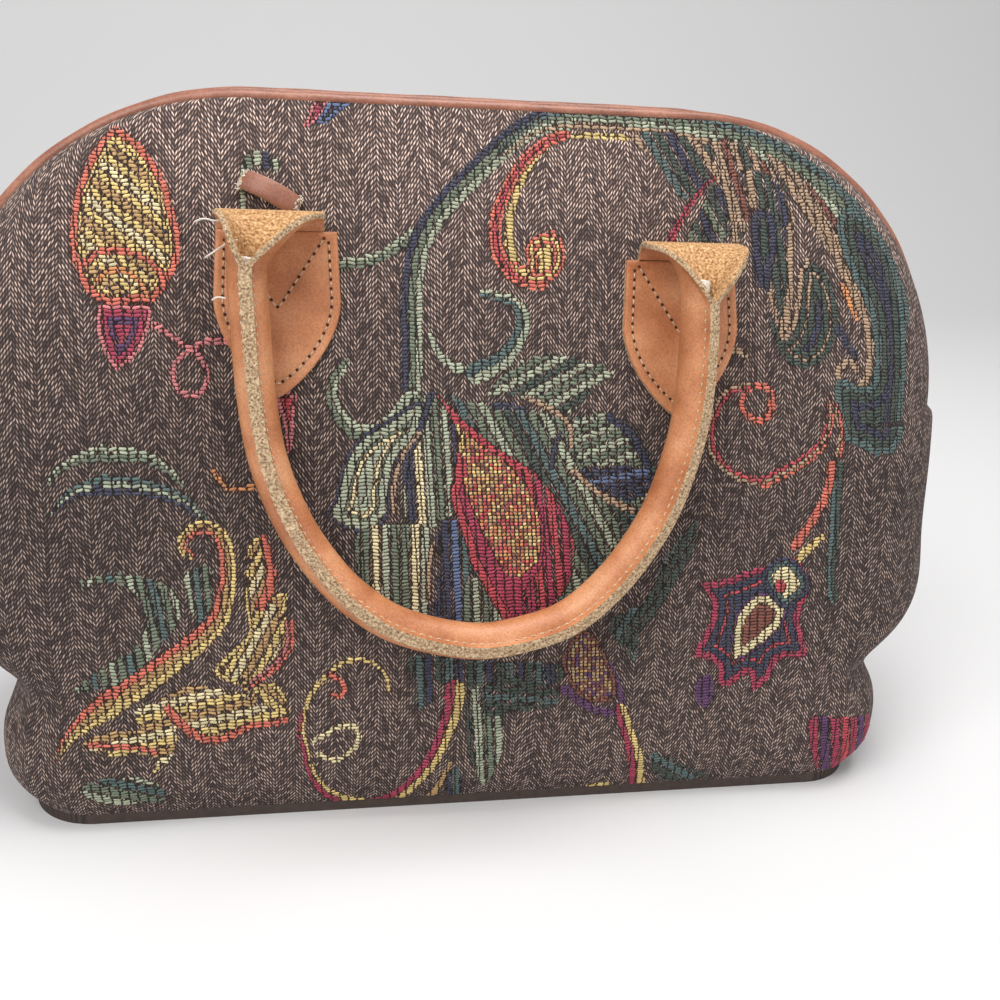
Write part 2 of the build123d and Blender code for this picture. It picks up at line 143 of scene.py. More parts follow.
# Loop above the left leaf: middle along the cloth, height, half length, rise, half width, thickness and tilt
keeper_at = (-72.4, 222.2)
keeper_half_length, keeper_rise, keeper_half_width, keeper_thickness = 9.2, 4.2, 3.5, 1.4
keeper_tilt, keeper_lift, keeper_sections = math.radians(-27), 0.4, 41
keeper_section = [
    (-1, 0), (-1, 0.8), (-0.9, 1), (-0.3, 1.04), (0.3, 1.04),
    (0.9, 1), (1, 0.8), (1, 0), (0.5, 0), (-0.5, 0),
]
# First and last side of its section with grain, and the worn rows at each end
keeper_grain, keeper_worn_rows = (1, 5), 2
# Pale fibres at its worn ends: number at each end, length, radius, sides, seed and share of the strip
fray_count, fray_length, fray_radius, fray_sides, fray_seed, fray_share = 40, 3.2, 0.15, 5, 11, 0.93

# Raised threads of the pattern: rows of floats across the cloth, one colour each
row_pitch, row_shift, row_margin, sample_step, least_samples = 1.25, 0.1, 0.6, 0.31, 3
float_length, float_half_width, float_height, float_end_gap = 3.1, 0.48, 0.5, 0.2
float_lean, float_uneven, pattern_uneven, side_margin = 0.15, 0.06, 0.5, 1.2
# Ranges of their height and shade, and how a short one lies lower
float_lifts, float_shades = (0.8, 1.15), (0.7, 1.12)
full_lift_half, least_lift = 1.2, 0.6
float_shape = [
    (-1, 0, 0.1), (-0.72, -1, 0.05), (-0.72, 0, 1), (-0.72, 1, 0.05),
    (0.72, -1, 0.05), (0.72, 0, 1), (0.72, 1, 0.05), (1, 0, 0.1),
]
float_skin = [(0, 1, 2), (0, 2, 3), (1, 4, 5), (1, 5, 2), (2, 5, 6), (2, 6, 3), (4, 7, 5), (5, 7, 6)]
stripe_share, lanes_each, field_margin = 0.86, 64, 2

# Camera
camera_at = np.array((-67.5, -441.6, 266.0))
camera_yaw, camera_pitch, camera_roll = (math.radians(a) for a in (10.99, 20.37, 3.15))
camera_focus, picture_half, sensor_width = 1165.0, 500.0, 36.0

# Floor in metres, which sweeps up behind the bag, and lamps: place, aim, size and power
floor_half, floor_depth, sweep_radius, floor_color = 3.0, 0.9, 0.8, (216, 215, 215)
lamps = {
    "key": ((-0.9, -1.0, 1.5), (0, 0, 0.12), 1.0, 20.0),
    "fill": ((1.1, -1.3, 0.8), (0, 0, 0.12), 1.4, 5.0),
    "top": ((0.15, -0.1, 1.5), (0, 0, 0.1), 0.8, 16.0),
}
world_color, world_strength = (0.9, 0.9, 0.9, 1), 0.55

# Yarn colours on screen, 0 to 255
yarns = {
    "coral": (214, 112, 92), "red": (190, 70, 80), "magenta": (168, 56, 84), "pink": (208, 122, 126),
    "yellow": (222, 196, 126), "cream": (226, 212, 166), "ochre": (188, 152, 100), "orange": (212, 142, 90),
    "sage": (168, 176, 152), "green": (112, 124, 104), "forest": (66, 80, 72), "teal": (84, 106, 104),
    "navy": (58, 61, 84), "blue": (94, 110, 146), "purple": (98, 60, 104), "brown": (134, 78, 64),
    "tan": (178, 150, 122),
}
# Yarns that change colour from float to float
mixed_yarns = {
    "speckle": ("orange", "ochre", "red", "yellow", "coral", "brown"),
    # Painted shadow: the dim speckle is a darker copy of the speckle, for where the handle's shadow falls
    "dim_speckle": ("brown", "ochre", "tan", "purple"),
}
yarn_names = list(yarns) + list(mixed_yarns)
plain_ground, left_as_it_is = -1, -2

# The pattern is drawn on the picture plane of the camera, from the lowest layer to the highest.
# A field is a closed outline with bands of yarn from its edge inwards, each with a width.
# Stripes fill a closed outline at an angle, with a pitch and the yarns in turn.
# A stem is a line with its width at the start and the end, and its yarns across it.
pattern = [
    # Fruit at the upper left
    ("field", [(116, 127), (128, 134), (144, 147), (160, 170), (170, 190), (173, 207), (179, 226),
     (181, 245), (179, 265), (170, 281), (162, 294), (152, 302), (125, 304), (100, 302), (84, 288),
     (73, 262), (70, 230), (75, 196), (86, 164), (101, 138)], [("coral", 8), ("yellow", 30)]),
    ("stripes", [(117, 142), (128, 150), (142, 165), (154, 185), (160, 202), (166, 221), (170, 243),
     (168, 262), (159, 278), (144, 291), (125, 295), (105, 293), (92, 281), (83, 258), (81, 230), (86, 200),
     (96, 170)], 38, 9, ["yellow", "ochre", "yellow", "cream"]),
    ("stem", [(86, 262), (105, 251), (130, 253), (147, 260), (160, 273), (164, 288)], 7, 6, ["coral"]),
    ("stem", [(98, 282), (108, 271), (125, 272), (139, 281), (147, 294)], 6, 6, ["orange"]),
    ("field", [(100, 305), (125, 306), (150, 306), (151, 323), (144, 345), (130, 362), (116, 370),
     (104, 352), (97, 328)], [("pink", 5), ("magenta", 7), ("purple", 6), ("magenta", 30)]),
    ("stem", [(153, 325), (168, 334), (183, 344), (196, 353), (205, 365), (207, 378), (202, 391),
     (190, 395), (178, 389), (173, 375), (178, 360), (190, 350), (205, 342), (227, 342)], 6, 6, ["pink"]),
    # Tops of the upper edge
    ("field", [(314, 101), (328, 102), (322, 115), (310, 126), (302, 126), (308, 115)], [("pink", 4),
     ("magenta", 20)]),
    ("field", [(329, 102), (351, 103), (339, 113), (326, 124), (316, 122), (322, 112)], [("blue", 5),
     ("navy", 4), ("blue", 30)]),
    ("stripes", [(239, 184), (241, 165), (248, 152), (263, 149), (276, 158), (281, 171), (265, 169),
     (255, 167), (250, 175), (247, 208), (240, 208)], 84, 9, ["navy", "sage", "green", "sage"]),
    ("field", [(275, 394), (297, 394), (295, 415), (294, 439), (288, 457), (285, 439), (282, 419)],
     [("pink", 5), ("red", 5), ("pink", 30)]),
    # Long stem and its branch
    ("stem", [(337, 265), (362, 262), (387, 253), (411, 236), (433, 221)], 11, 13, ["sage", "green"]),
    ("stem", [(652, 122), (600, 116), (560, 119), (528, 128), (504, 146), (480, 168), (458, 190),
     (438, 212), (424, 236), (415, 264), (412, 296), (412, 330), (412, 366), (412, 398)], 26, 21, ["sage",
     "green", "navy"]),
    # Scroll at the top
    ("stem", [(639, 138), (614, 137), (585, 136), (560, 139), (541, 152), (527, 171), (516, 194),
     (510, 219), (509, 242), (516, 262)], 4, 10, ["yellow"]),
    ("stem", [(565, 135), (547, 142), (527, 158), (511, 181), (500, 206), (495, 229), (497, 250),
     (507, 268), (524, 280), (541, 282)], 11, 16, ["coral", "red", "coral"]),
    ("field", [(541, 234), (555, 232), (564, 245), (565, 262), (557, 277), (541, 284), (522, 280),
     (510, 267), (516, 262), (527, 264), (525, 249), (531, 239)], [("coral", 4), ("yellow", 4),
     ("coral", 4), ("yellow", 30)]),
    # Great frond at the upper right
    ("stem", [(505, 150), (530, 130), (562, 120), (602, 119), (644, 122), (686, 127), (726, 136),
     (764, 152), (801, 175), (831, 202), (856, 233), (878, 269), (893, 314)], 11, 48, ["teal", "green",
     "sage", "tan"]),
    ("stripes", [(629, 139), (649, 132), (679, 135), (704, 147), (724, 170), (719, 185), (696, 196),
     (683, 199), (673, 188), (663, 172), (648, 154)], 58, 10, ["navy", "forest", "teal", "tan", "forest"]),
    ("stripes", [(704, 146), (729, 140), (754, 152), (769, 172), (766, 194), (754, 209), (741, 239),
     (729, 239), (728, 209), (726, 185), (719, 165)], 72, 8, ["tan", "forest", "tan", "brown"]),
    ("stem", [(671, 239), (683, 217), (695, 199), (715, 176)], 9, 4, ["magenta", "red"]),
    ("stripes", [(689, 239), (698, 216), (707, 196), (718, 187), (726, 193), (728, 219), (729, 239)], 62, 9,
     ["forest", "green", "navy"]),
    ("stem", [(721, 170), (728, 194), (733, 217), (736, 240)], 6, 7, ["tan"]),
    ("stripes", [(741, 172), (764, 172), (783, 194), (795, 224), (792, 264), (790, 304), (787, 336),
     (776, 326), (767, 296), (754, 279), (751, 239), (754, 207)], 80, 9, ["forest", "tan", "navy",
     "forest"]),
    ("field", [(754, 212), (771, 214), (777, 239), (773, 264), (767, 294), (759, 282), (754, 262),
     (751, 237)], [("navy", 8), ("forest", 30)]),
    ("field", [(766, 311), (776, 328), (787, 340), (797, 321), (800, 289), (806, 262), (825, 273),
     (836, 301), (838, 329), (828, 355), (808, 368), (788, 362), (776, 344)], [("forest", 7), ("tan", 3),
     ("forest", 7), ("navy", 5), ("forest", 30)]),
    ("stem", [(790, 226), (790, 264), (789, 301), (787, 335), (782, 337), (782, 324), (786, 306)], 7, 6,
     ["tan"]),
    ("stem", [(787, 335), (795, 321), (798, 299), (801, 274), (807, 262)], 6, 6, ["tan"]),
    ("stripes", [(766, 153), (796, 173), (821, 199), (846, 237), (863, 279), (878, 321), (861, 314),
     (843, 284), (823, 244), (803, 214), (781, 185)], 58, 9, ["tan", "forest", "brown", "tan"]),
    ("stem", [(802, 191), (825, 229), (844, 278), (862, 314), (870, 349), (864, 382), (844, 386),
     (838, 371), (848, 362), (856, 369)], 8, 7, ["tan"]),
    ("stem", [(842, 285), (848, 300), (856, 319)], 7, 5, ["orange"]),
    ("field", [(848, 207), (878, 229), (898, 264), (908, 314), (910, 376), (903, 443), (878, 456),
     (863, 448), (843, 438), (834, 403), (838, 379), (868, 386), (874, 349), (866, 309), (848, 269),
     (836, 229)], [("teal", 8), ("forest", 8), ("navy", 7), ("forest", 8), ("tan", 4), ("teal", 30)]),
    ("stem", [(838, 329), (846, 344), (856, 357)], 9, 6, ["navy"]),
    # Curl and hook at the right
    ("stem", [(721, 354), (736, 350), (747, 357)], 8, 5, ["tan"]),
    ("stem", [(773, 407), (765, 419), (750, 417), (741, 405), (747, 391), (761, 385), (772, 395),
     (769, 404)], 7, 6, ["coral"]),
    ("stem", [(749, 387), (731, 390), (719, 405), (711, 425), (711, 446), (723, 466), (744, 479),
     (771, 483)], 8, 9, ["red", "tan"]),
    ("stem", [(830, 402), (830, 421), (822, 444), (804, 461), (783, 473), (764, 482)], 8, 13, ["coral",
     "tan", "red"]),
    ("stem", [(836, 407), (841, 436), (837, 461), (829, 483)], 6, 8, ["coral", "tan"]),
    ("stem", [(838, 465), (836, 507), (834, 545), (831, 574), (834, 599)], 11, 10, ["forest", "teal"]),
    ("stem", [(832, 465), (828, 490), (818, 512), (808, 528), (795, 547)], 9, 9, ["coral"]),
    ("stem", [(822, 538), (802, 556), (788, 572)], 8, 8, ["yellow"]),
    # Tulip
    ("field", [(693, 689), (709, 673), (715, 693), (704, 710)], [("purple", 30)]),
    ("field", [(701, 583), (726, 579), (754, 569), (771, 563), (792, 557), (807, 572), (811, 589),
     (804, 606), (800, 619), (804, 635), (806, 657), (780, 660), (769, 679), (753, 690), (748, 674),
     (729, 687), (718, 684), (718, 669), (709, 660), (692, 656), (704, 634), (712, 609), (706, 592)],
     [("magenta", 7), ("navy", 7), ("red", 3), ("navy", 30)]),
    ("field", [(732, 660), (733, 629), (741, 608), (759, 594), (776, 598), (787, 609), (782, 627),
     (767, 642), (749, 655)], [("purple", 2.5), ("cream", 8), ("brown", 30)]),
    ("field", [(762, 576), (772, 562), (789, 557), (804, 569), (811, 587), (801, 600), (786, 610),
     (771, 597)], [("navy", 5), ("teal", 5), ("cream", 30)]),
    ("field", [(774, 587), (780, 579), (787, 586), (781, 594)], [("red", 30)]),
    # Block at the lower right corner
    ("stripes", [(810, 719), (838, 718), (868, 721), (888, 729), (888, 756), (863, 766), (821, 770),
     (811, 751)], 88, 11, ["magenta", "red", "magenta", "purple"]),
    # Great flower in the middle: right leaf
    ("stem", [(431, 337), (442, 358), (465, 370), (491, 365)], 7, 13, ["sage"]),
    ("stem", [(477, 373), (504, 359), (520, 335), (523, 315), (511, 301), (483, 293)], 22, 8, ["teal",
     "sage"]),
    ("stripes", [(446, 394), (465, 401), (494, 403), (523, 408), (543, 412), (564, 418), (586, 415),
     (608, 415), (632, 425), (649, 447), (661, 471), (678, 498), (666, 537), (627, 585), (589, 622),
     (552, 634), (528, 624), (552, 571), (543, 498), (494, 447), (465, 423)], 62, 10, ["green", "sage",
     "green", "teal", "forest"]),
    ("stripes", [(487, 394), (504, 376), (523, 360), (557, 354), (585, 361), (615, 370), (598, 387),
     (584, 402), (567, 416), (547, 411), (528, 399), (509, 397)], -28, 9, ["sage", "forest", "sage",
     "green"]),
    ("stripes", [(572, 423), (601, 419), (627, 435), (643, 461), (610, 465), (584, 467), (575, 450)], -20,
     8, ["sage", "green"]),
    ("stripes", [(578, 472), (608, 466), (646, 469), (656, 481), (636, 499), (606, 494), (586, 486)], -12,
     8, ["navy", "navy", "blue", "navy"]),
    ("stem", [(610, 417), (632, 435), (648, 465)], 8, 8, ["navy"]),
    ("stem", [(494, 405), (516, 407), (528, 411)], 7, 4, ["navy"]),
    ("stem", [(560, 435), (554, 450), (552, 467)], 5, 5, ["navy"]),
    ("stem", [(528, 398), (555, 411), (570, 426), (572, 447)], 6, 5, ["tan"]),
    ("stem", [(574, 471), (601, 495), (633, 510)], 6, 7, ["tan"]),
    # Great flower in the middle: left leaf
    ("stem", [(346, 363), (335, 379), (332, 396), (340, 416), (356, 431), (379, 431), (398, 416),
     (413, 400)], 9, 21, ["sage", "green"]),
    ("field", [(424, 401), (407, 406), (400, 412), (383, 422), (361, 436), (347, 454), (338, 479),
     (334, 500), (326, 514), (337, 525), (356, 532), (373, 532), (390, 513), (392, 489), (400, 460),
     (420, 436), (426, 418)], [("navy", 4), ("sage", 9), ("green", 3), ("cream", 4), ("sage", 8),
     ("green", 3), ("sage", 30)]),
    ("stripes", [(424, 396), (436, 396), (450, 416), (456, 435), (456, 469), (450, 493), (453, 519),
     (446, 526), (426, 526), (406, 524), (403, 498), (405, 469), (417, 447), (426, 425)], 86, 9.5, ["navy",
     "sage", "green", "sage", "cream"]),
    ("stem", [(431, 394), (420, 430), (407, 459), (404, 484)], 7, 5, ["navy"]),
    ("stripes", [(357, 534), (390, 524), (427, 525), (434, 537), (432, 571), (429, 595), (423, 624),
     (390, 610), (368, 592), (358, 571)], 90, 10, ["green", "sage", "cream", "green"]),
    ("stripes", [(437, 528), (455, 519), (466, 542), (476, 571), (490, 602), (497, 626), (465, 631),
     (435, 626), (438, 571)], 88, 10.5, ["navy", "teal", "blue", "navy"]),
    ("stripes", [(467, 579), (485, 583), (495, 602), (506, 626), (465, 626)], 88, 10, ["sage", "green"]),
    ("stem", [(433, 544), (429, 571), (428, 600)], 5, 5, ["tan"]),
    ("stem", [(420, 433), (403, 455), (394, 486), (394, 511)], 5, 6, ["tan"]),
    # Great flower in the middle: bud
    ("field", [(436, 395), (455, 412), (480, 435), (504, 453), (528, 468), (549, 488), (563, 511),
     (573, 537), (574, 559), (568, 584), (553, 603), (528, 620), (509, 625), (494, 605), (480, 580),
     (470, 559), (464, 537), (455, 513), (451, 493), (456, 467), (457, 435), (449, 414)], [("red", 9),
     ("magenta", 30)]),
    ("stripes", [(523, 470), (549, 488), (563, 511), (573, 537), (574, 559), (568, 584), (553, 603),
     (535, 617), (523, 595), (541, 566), (544, 534), (538, 505), (526, 486)], 84, 10, ["red", "magenta"]),
    ("field", [(460, 428), (480, 445), (504, 461), (524, 484), (537, 508), (541, 534), (539, 557),
     (524, 574), (509, 576), (493, 554), (482, 530), (472, 506), (465, 489), (463, 464)],
     [("speckle", 60)]),
    ("stem", [(458, 427), (462, 440), (461, 452)], 4, 6, ["yellow"]),
    # Below the handle, where its shadow falls: the dark forest and navy here and the dim speckle stand in
    # part for painted shadow of the handle
    ("stripes", [(410, 657), (447, 657), (500, 661), (556, 663), (556, 682), (500, 684), (469, 688),
     (445, 685), (435, 682), (431, 702), (415, 708), (412, 682)], 88, 10, ["forest", "navy", "teal"]),
    ("stripes", [(468, 690), (500, 682), (505, 707), (502, 750), (485, 785), (469, 755), (466, 719)], 86,
     10, ["green", "sage", "forest", "sage"]),
    ("stripes", [(446, 776), (460, 766), (463, 793), (447, 794)], 88, 9, ["teal", "navy"]),
    ("stripes", [(485, 684), (520, 678), (555, 688), (554, 704), (520, 710), (485, 713)], 4, 8, ["forest",
     "teal", "forest"]),
    ("stripes", [(608, 620), (644, 599), (664, 557), (694, 520), (697, 540), (665, 599), (640, 632),
     (635, 660), (619, 645)], -58, 9, ["forest", "forest", "teal"]),
    ("stem", [(564, 688), (585, 704), (610, 712), (622, 704), (617, 684), (609, 663)], 9, 7, ["purple"]),
    ("field", [(561, 662), (569, 642), (585, 628), (600, 644), (610, 666), (617, 689), (607, 702),
     (585, 699), (572, 686)], [("brown", 4), ("dim_speckle", 60)]),
    ("stem", [(620, 708), (627, 731), (635, 756), (637, 790)], 12, 18, ["yellow", "magenta"]),
    ("stripes", [(649, 756), (664, 755), (685, 765), (707, 776), (689, 780), (659, 779)], 30, 9, ["teal",
     "forest"]),
    ("stem", [(575, 791), (589, 787), (607, 784)], 5, 5, ["yellow"]),
    # Leaves at the lower left
    ("stem", [(110, 453), (84, 457), (62, 468), (46, 484)], 17, 3, ["green", "sage"]),
    ("stem", [(110, 485), (84, 489), (64, 500), (50, 516)], 22, 3, ["navy", "sage", "teal"]),
    ("stem", [(103, 453), (125, 454), (147, 458), (165, 468), (182, 484)], 17, 6, ["sage", "green"]),
    ("stem", [(103, 485), (125, 486), (148, 489), (174, 497), (191, 506), (209, 526)], 22, 9, ["teal",
     "sage", "navy"]),
    ("stripes", [(70, 586), (103, 575), (125, 574), (147, 577), (167, 585), (179, 601), (180, 620),
     (169, 637), (154, 654), (142, 673), (125, 683), (103, 690), (72, 692), (103, 668), (125, 656),
     (136, 646), (144, 629), (142, 610), (134, 595), (125, 587), (103, 585)], 76, 10, ["green", "sage",
     "green", "teal"]),
    ("stripes", [(183, 576), (210, 565), (214, 585), (210, 611), (198, 625), (190, 610), (187, 593)], 84,
     10, ["green", "teal", "sage"]),
    ("stem", [(190, 556), (182, 547), (186, 535), (200, 527), (217, 532), (226, 550), (228, 576),
     (225, 600), (218, 621), (200, 640), (178, 657), (154, 675), (125, 695), (103, 709)], 9, 27, ["yellow",
     "ochre", "coral"]),
    ("stem", [(110, 704), (86, 722), (66, 742), (54, 764)], 27, 3, ["yellow", "ochre", "coral"]),
    ("field", [(248, 547), (256, 536), (266, 536), (266, 554), (273, 571), (276, 591), (288, 595),
     (286, 615), (293, 625), (290, 644), (276, 666), (256, 682), (276, 685), (288, 702), (288, 720),
     (265, 720), (251, 695), (236, 685), (214, 673), (227, 655), (248, 634), (246, 610), (245, 585),
     (247, 566)], [("yellow", 5), ("ochre", 30)]),
    ("stripes", [(250, 549), (261, 547), (265, 571), (270, 598), (280, 610), (285, 629), (278, 653),
     (261, 673), (241, 680), (222, 671), (236, 653), (253, 634), (250, 610), (249, 585)], -62, 9, ["yellow",
     "cream", "ochre"]),
    ("stripes", [(236, 682), (265, 684), (285, 704), (286, 718), (265, 716), (252, 697)], 40, 9, ["yellow",
     "ochre"]),
    ("stem", [(263, 538), (268, 554), (272, 576), (267, 595), (261, 605)], 8, 11, ["coral"]),
    ("stem", [(290, 623), (289, 646), (275, 667), (251, 685)], 9, 8, ["coral", "pink"]),
    ("stripes", [(133, 714), (159, 699), (190, 687), (217, 689), (246, 696), (271, 709), (289, 719),
     (278, 725), (261, 722), (241, 732), (224, 741), (200, 739), (179, 727), (177, 739), (171, 760),
     (153, 773), (156, 758), (135, 756), (106, 756), (82, 746), (106, 733), (139, 730)], -14, 9, ["yellow",
     "ochre", "cream"]),
    ("stem", [(168, 710), (183, 726), (205, 740), (227, 738), (251, 727), (287, 722)], 9, 6, ["coral"]),
    ("stem", [(90, 746), (112, 747), (135, 748), (156, 753)], 6, 5, ["coral"]),
    ("stripes", [(78, 790), (103, 779), (125, 778), (145, 779), (162, 787), (167, 799), (144, 804),
     (103, 803)], 12, 9, ["sage", "teal", "green"]),
    ("stem", [(213, 470), (224, 485), (236, 489), (256, 486)], 5, 6, ["orange"]),
    ("stem", [(390, 691), (385, 675), (370, 662), (350, 661), (336, 668), (321, 682), (310, 697),
     (305, 711), (302, 731), (307, 753), (312, 772), (324, 789), (346, 799), (372, 802)], 4, 8, ["yellow"]),
    ("stem", [(302, 714), (299, 731), (304, 753), (309, 773), (321, 791), (338, 801)], 4, 6, ["magenta"]),
    ("stem", [(372, 802), (394, 797), (416, 779), (433, 757), (445, 731), (453, 707), (455, 690)], 9, 21,
     ["magenta", "yellow"]),
    ("stem", [(421, 804), (437, 787), (450, 762)], 8, 5, ["ochre"]),
    ("stem", [(329, 675), (339, 680), (345, 690), (340, 697), (331, 694)], 6, 5, ["coral"]),
    ("stem", [(314, 743), (329, 733), (346, 726), (358, 731), (356, 746), (343, 758), (329, 760),
     (318, 754)], 6, 6, ["cream"]),
]


# Lines and axes


def linear(*rgb):
    """Linear colour from 0 to 255 screen values."""
    c = np.array(rgb, float) / 255
    return tuple(np.where(c <= 0.04045, c / 12.92, ((c + 0.055) / 1.055) ** 2.4)) + (1.0,)


def placed(points, turned):
    """Points of the front as they are, or turned round to the back."""
    return np.asarray(points) * ((-1, -1, 1) if turned else (1, 1, 1))


def unit(v):
    return v / np.maximum(np.linalg.norm(v, axis=-1, keepdims=True), 1e-9)


def run_length(line):
    return np.linalg.norm(np.diff(line, axis=0), axis=1).sum()


def even(line, count):
    """A line with its points evenly spaced."""
    way = np.concatenate([[0], np.cumsum(np.linalg.norm(np.diff(line, axis=0), axis=1))])
    at = np.linspace(0, way[-1], count)
    return np.stack([np.interp(at, way, line[:, k]) for k in range(line.shape[1])], -1)


def rounded(points, closed):
    """A smooth line through points."""
    p = np.array(points, float)
    if closed:
        ring = np.vstack([p[-1], p, p[0], p[1]])
    else:
        ring = np.vstack([2 * p[0] - p[1], p, 2 * p[-1] - p[-2]])
    t = np.linspace(0, 1, curve_points, endpoint=False)[:, None]
    a, b, c, d = (ring[k : len(ring) - 3 + k][:, None, :] for k in range(4))
    line = 0.5 * (2 * b + (c - a) * t + (2 * a - 5 * b + 4 * c - d) * t**2 + (3 * b - a - 3 * c + d) * t**3)
    line = line.reshape(-1, 2)
    return line if closed else np.vstack([line, p[-1]])


def bow(start, start_way, finish, finish_way, count):
    """A smooth line between two points with a direction at each end."""
    t = np.linspace(0, 1, count)[:, None]
    a, b = start + start_way, finish - finish_way
    return (1 - t) ** 3 * start + 3 * (1 - t) ** 2 * t * a + 3 * (1 - t) * t**2 * b + t**3 * finish


def curve_through(x, y, at):
    """Natural cubic curve through points, read at other places."""
    h = np.diff(x)
    n = len(x)
    left = np.eye(n)
    right = np.zeros(n)
    for i in range(1, n - 1):
        left[i, i - 1 : i + 2] = h[i - 1], 2 * (h[i - 1] + h[i]), h[i]
        right[i] = 6 * ((y[i + 1] - y[i]) / h[i] - (y[i] - y[i - 1]) / h[i - 1])
    m = np.linalg.solve(left, right)
    i = np.clip(np.searchsorted(x, at) - 1, 0, n - 2)
    a, b = x[i + 1] - at, at - x[i]
    curve = (m[i] * a**3 + m[i + 1] * b**3) / (6 * h[i])
    return curve + (y[i] / h[i] - m[i] * h[i] / 6) * a + (y[i + 1] / h[i] - m[i + 1] * h[i] / 6) * b


# Form of the body


def half_depth(z):
    climb = np.maximum(0, z - belly_height)
    rise = belly_half_depth - profile_radius + np.sqrt(profile_radius**2 - climb**2)
    low = np.clip((belly_height - z) / (belly_height - base_thickness), 0, 1)
    return rise - base_tuck * low**2


def lean_at(z):
    return np.arcsin(np.clip((z - belly_height) / profile_radius, -1, 1))


def half_width_at(z):
    low = curve_through(body_rows[:, 0], body_rows[:, 1], np.minimum(z, shoulder_height))
    climb = np.clip(z - shoulder_height, 0, shoulder_radius)
    dome = dome_half_width + np.sqrt(np.maximum(shoulder_radius**2 - climb**2, 0))
    return np.where(z > shoulder_height, dome, low)


def corner_at(z):
    low = curve_through(body_rows[:, 0], body_rows[:, 2], np.minimum(z, shoulder_height))
    return np.where(z > shoulder_height, np.maximum(half_depth(z) - gusset_half_depth, least_corner), low)


def edge_depth(z):
    """How far from the middle plane the panel ends at the side."""
    way = np.clip((z - slot_foot_height) / (slot_bend_height - slot_foot_height), 0, 1)
    slot = slot_foot_half + (slot_half_depth - slot_foot_half) * way
    return np.where(z < slot_foot_height, side_seam_half, slot)


def panel_reach(z):
    """Length of cloth from the middle of the front to the panel's edge at the side."""
    w, d, r, edge = half_width_at(z), half_depth(z), corner_at(z), edge_depth(z)
    cut = math.pi / 2 - np.arcsin(np.clip((edge - d + r) / r, 0, 1))
    arc = np.where(edge > d - r, r * cut, r * math.pi / 2)
    return (w - r) + arc + np.maximum(d - r - edge, 0)


def panel_point(s, z):
    """Point on the front panel from the length along the cloth and the height."""
    w, d, r = half_width_at(z), half_depth(z), corner_at(z)
    way = np.abs(s)
    flat = w - r
    turn = np.clip((way - flat) / r, 0, math.pi / 2)
    run = np.maximum(way - flat - r * math.pi / 2, 0)
    x = np.minimum(way, flat) + r * np.sin(turn)
    y = -(d - r) - r * np.cos(turn) + run
    return np.stack([np.sign(s) * x, y, z + 0 * x], -1)


def soft_push(s, z):
    """Small slack of the cloth, in millimetres along its normal."""
    wave = 0.7 * np.sin(s / 47 + 0.8) * np.sin(z / 39 + 0.4) + 0.45 * np.sin(s / 21 - z / 33 + 1.9)
    fade = 1.0
    for edge in (panel_reach(z) - np.abs(s), top_height - z, z):
        fade = fade * np.clip(edge / slack_fade, 0, 1)
    return wave * fade


def panel_frame(s, z):
    """Point, direction along the cloth, direction up the cloth and normal."""
    e = frame_step
    along = unit(panel_point(s + e, z) - panel_point(s - e, z))
    up = panel_point(s, np.minimum(z + e, top_height)) - panel_point(s, z - e)
    normal = unit(np.cross(along, up))
    return panel_point(s, z) + normal * soft_push(s, z)[..., None], along, np.cross(normal, along), normal


# Camera and stage


def camera_axes():
    """Right, up and forward axes of the camera."""
    level = math.cos(camera_pitch)
    forward = np.array((math.sin(camera_yaw) * level, math.cos(camera_yaw) * level, -math.sin(camera_pitch)))
    right = np.array((math.cos(camera_yaw), -math.sin(camera_yaw), 0.0))
    up = np.cross(right, forward)
    c, s = math.cos(camera_roll), math.sin(camera_roll)
    return right * c + up * s, up * c - right * s, forward


def on_sheet(s, z):
    """Place of a point of the unrolled cloth on the picture plane, for drawing the pattern."""
    p = np.stack([s, -half_depth(z), z + 0 * s], -1) - camera_at
    right, up, forward = camera_axes()
    depth = p @ forward
    x = picture_half + camera_focus * (p @ right) / depth
    y = picture_half - camera_focus * (p @ up) / depth
    return np.stack([x, y], -1)


def hang_plane():
    """A point and the normal of the plane that the handle hangs in."""
    lean = math.radians(leg_tilt)
    return np.array((0.0, leg_top_y, leg_top_z)), np.array((0.0, -math.cos(lean), math.sin(lean)))


def on_hang_plane(points):
    """Points of the picture plane carried on to the plane of the handle."""
    right, up, forward = camera_axes()
    x, y = ((np.asarray(points, float) - picture_half) / camera_focus).T
    ray = forward + np.outer(x, right) - np.outer(y, up)
    origin, normal = hang_plane()
    reach = (origin - camera_at) @ normal / (ray @ normal)
    return camera_at + ray * reach[:, None]


def make_camera():
    data = bpy.data.cameras.new("camera")
    data.sensor_width = sensor_width
    data.lens = sensor_width * camera_focus / (2 * picture_half)
    data.clip_start = 0.01
    camera = add_object("camera", data)
    right, up, forward = camera_axes()
    turn = Matrix([right, up, -forward]).transposed().to_4x4()
    camera.matrix_world = Matrix.Translation(camera_at * MM) @ turn
    bpy.context.scene.camera = camera


def make_floor():
    """Pale floor, swept up behind the bag."""
    turn = np.linspace(0, math.pi / 2, sweep_sections)
    sweep = np.stack([floor_depth + sweep_radius * np.sin(turn), sweep_radius * (1 - np.cos(turn))], -1)
    profile = np.vstack([(-floor_half, 0), sweep, (floor_depth + sweep_radius, floor_half)])
    mesh = bpy.data.meshes.new("floor")
    points = [(x, y, z) for y, z in profile for x in (-floor_half, floor_half)]
    mesh.from_pydata(points, [], grid_faces(len(profile), 2)[:, ::-1].tolist())
    mesh.polygons.foreach_set("use_smooth", np.full(len(mesh.polygons), True))
    mesh.materials.append(new_material("floor", 0.8, linear(*floor_color))[0])
    return add_object("floor", mesh)


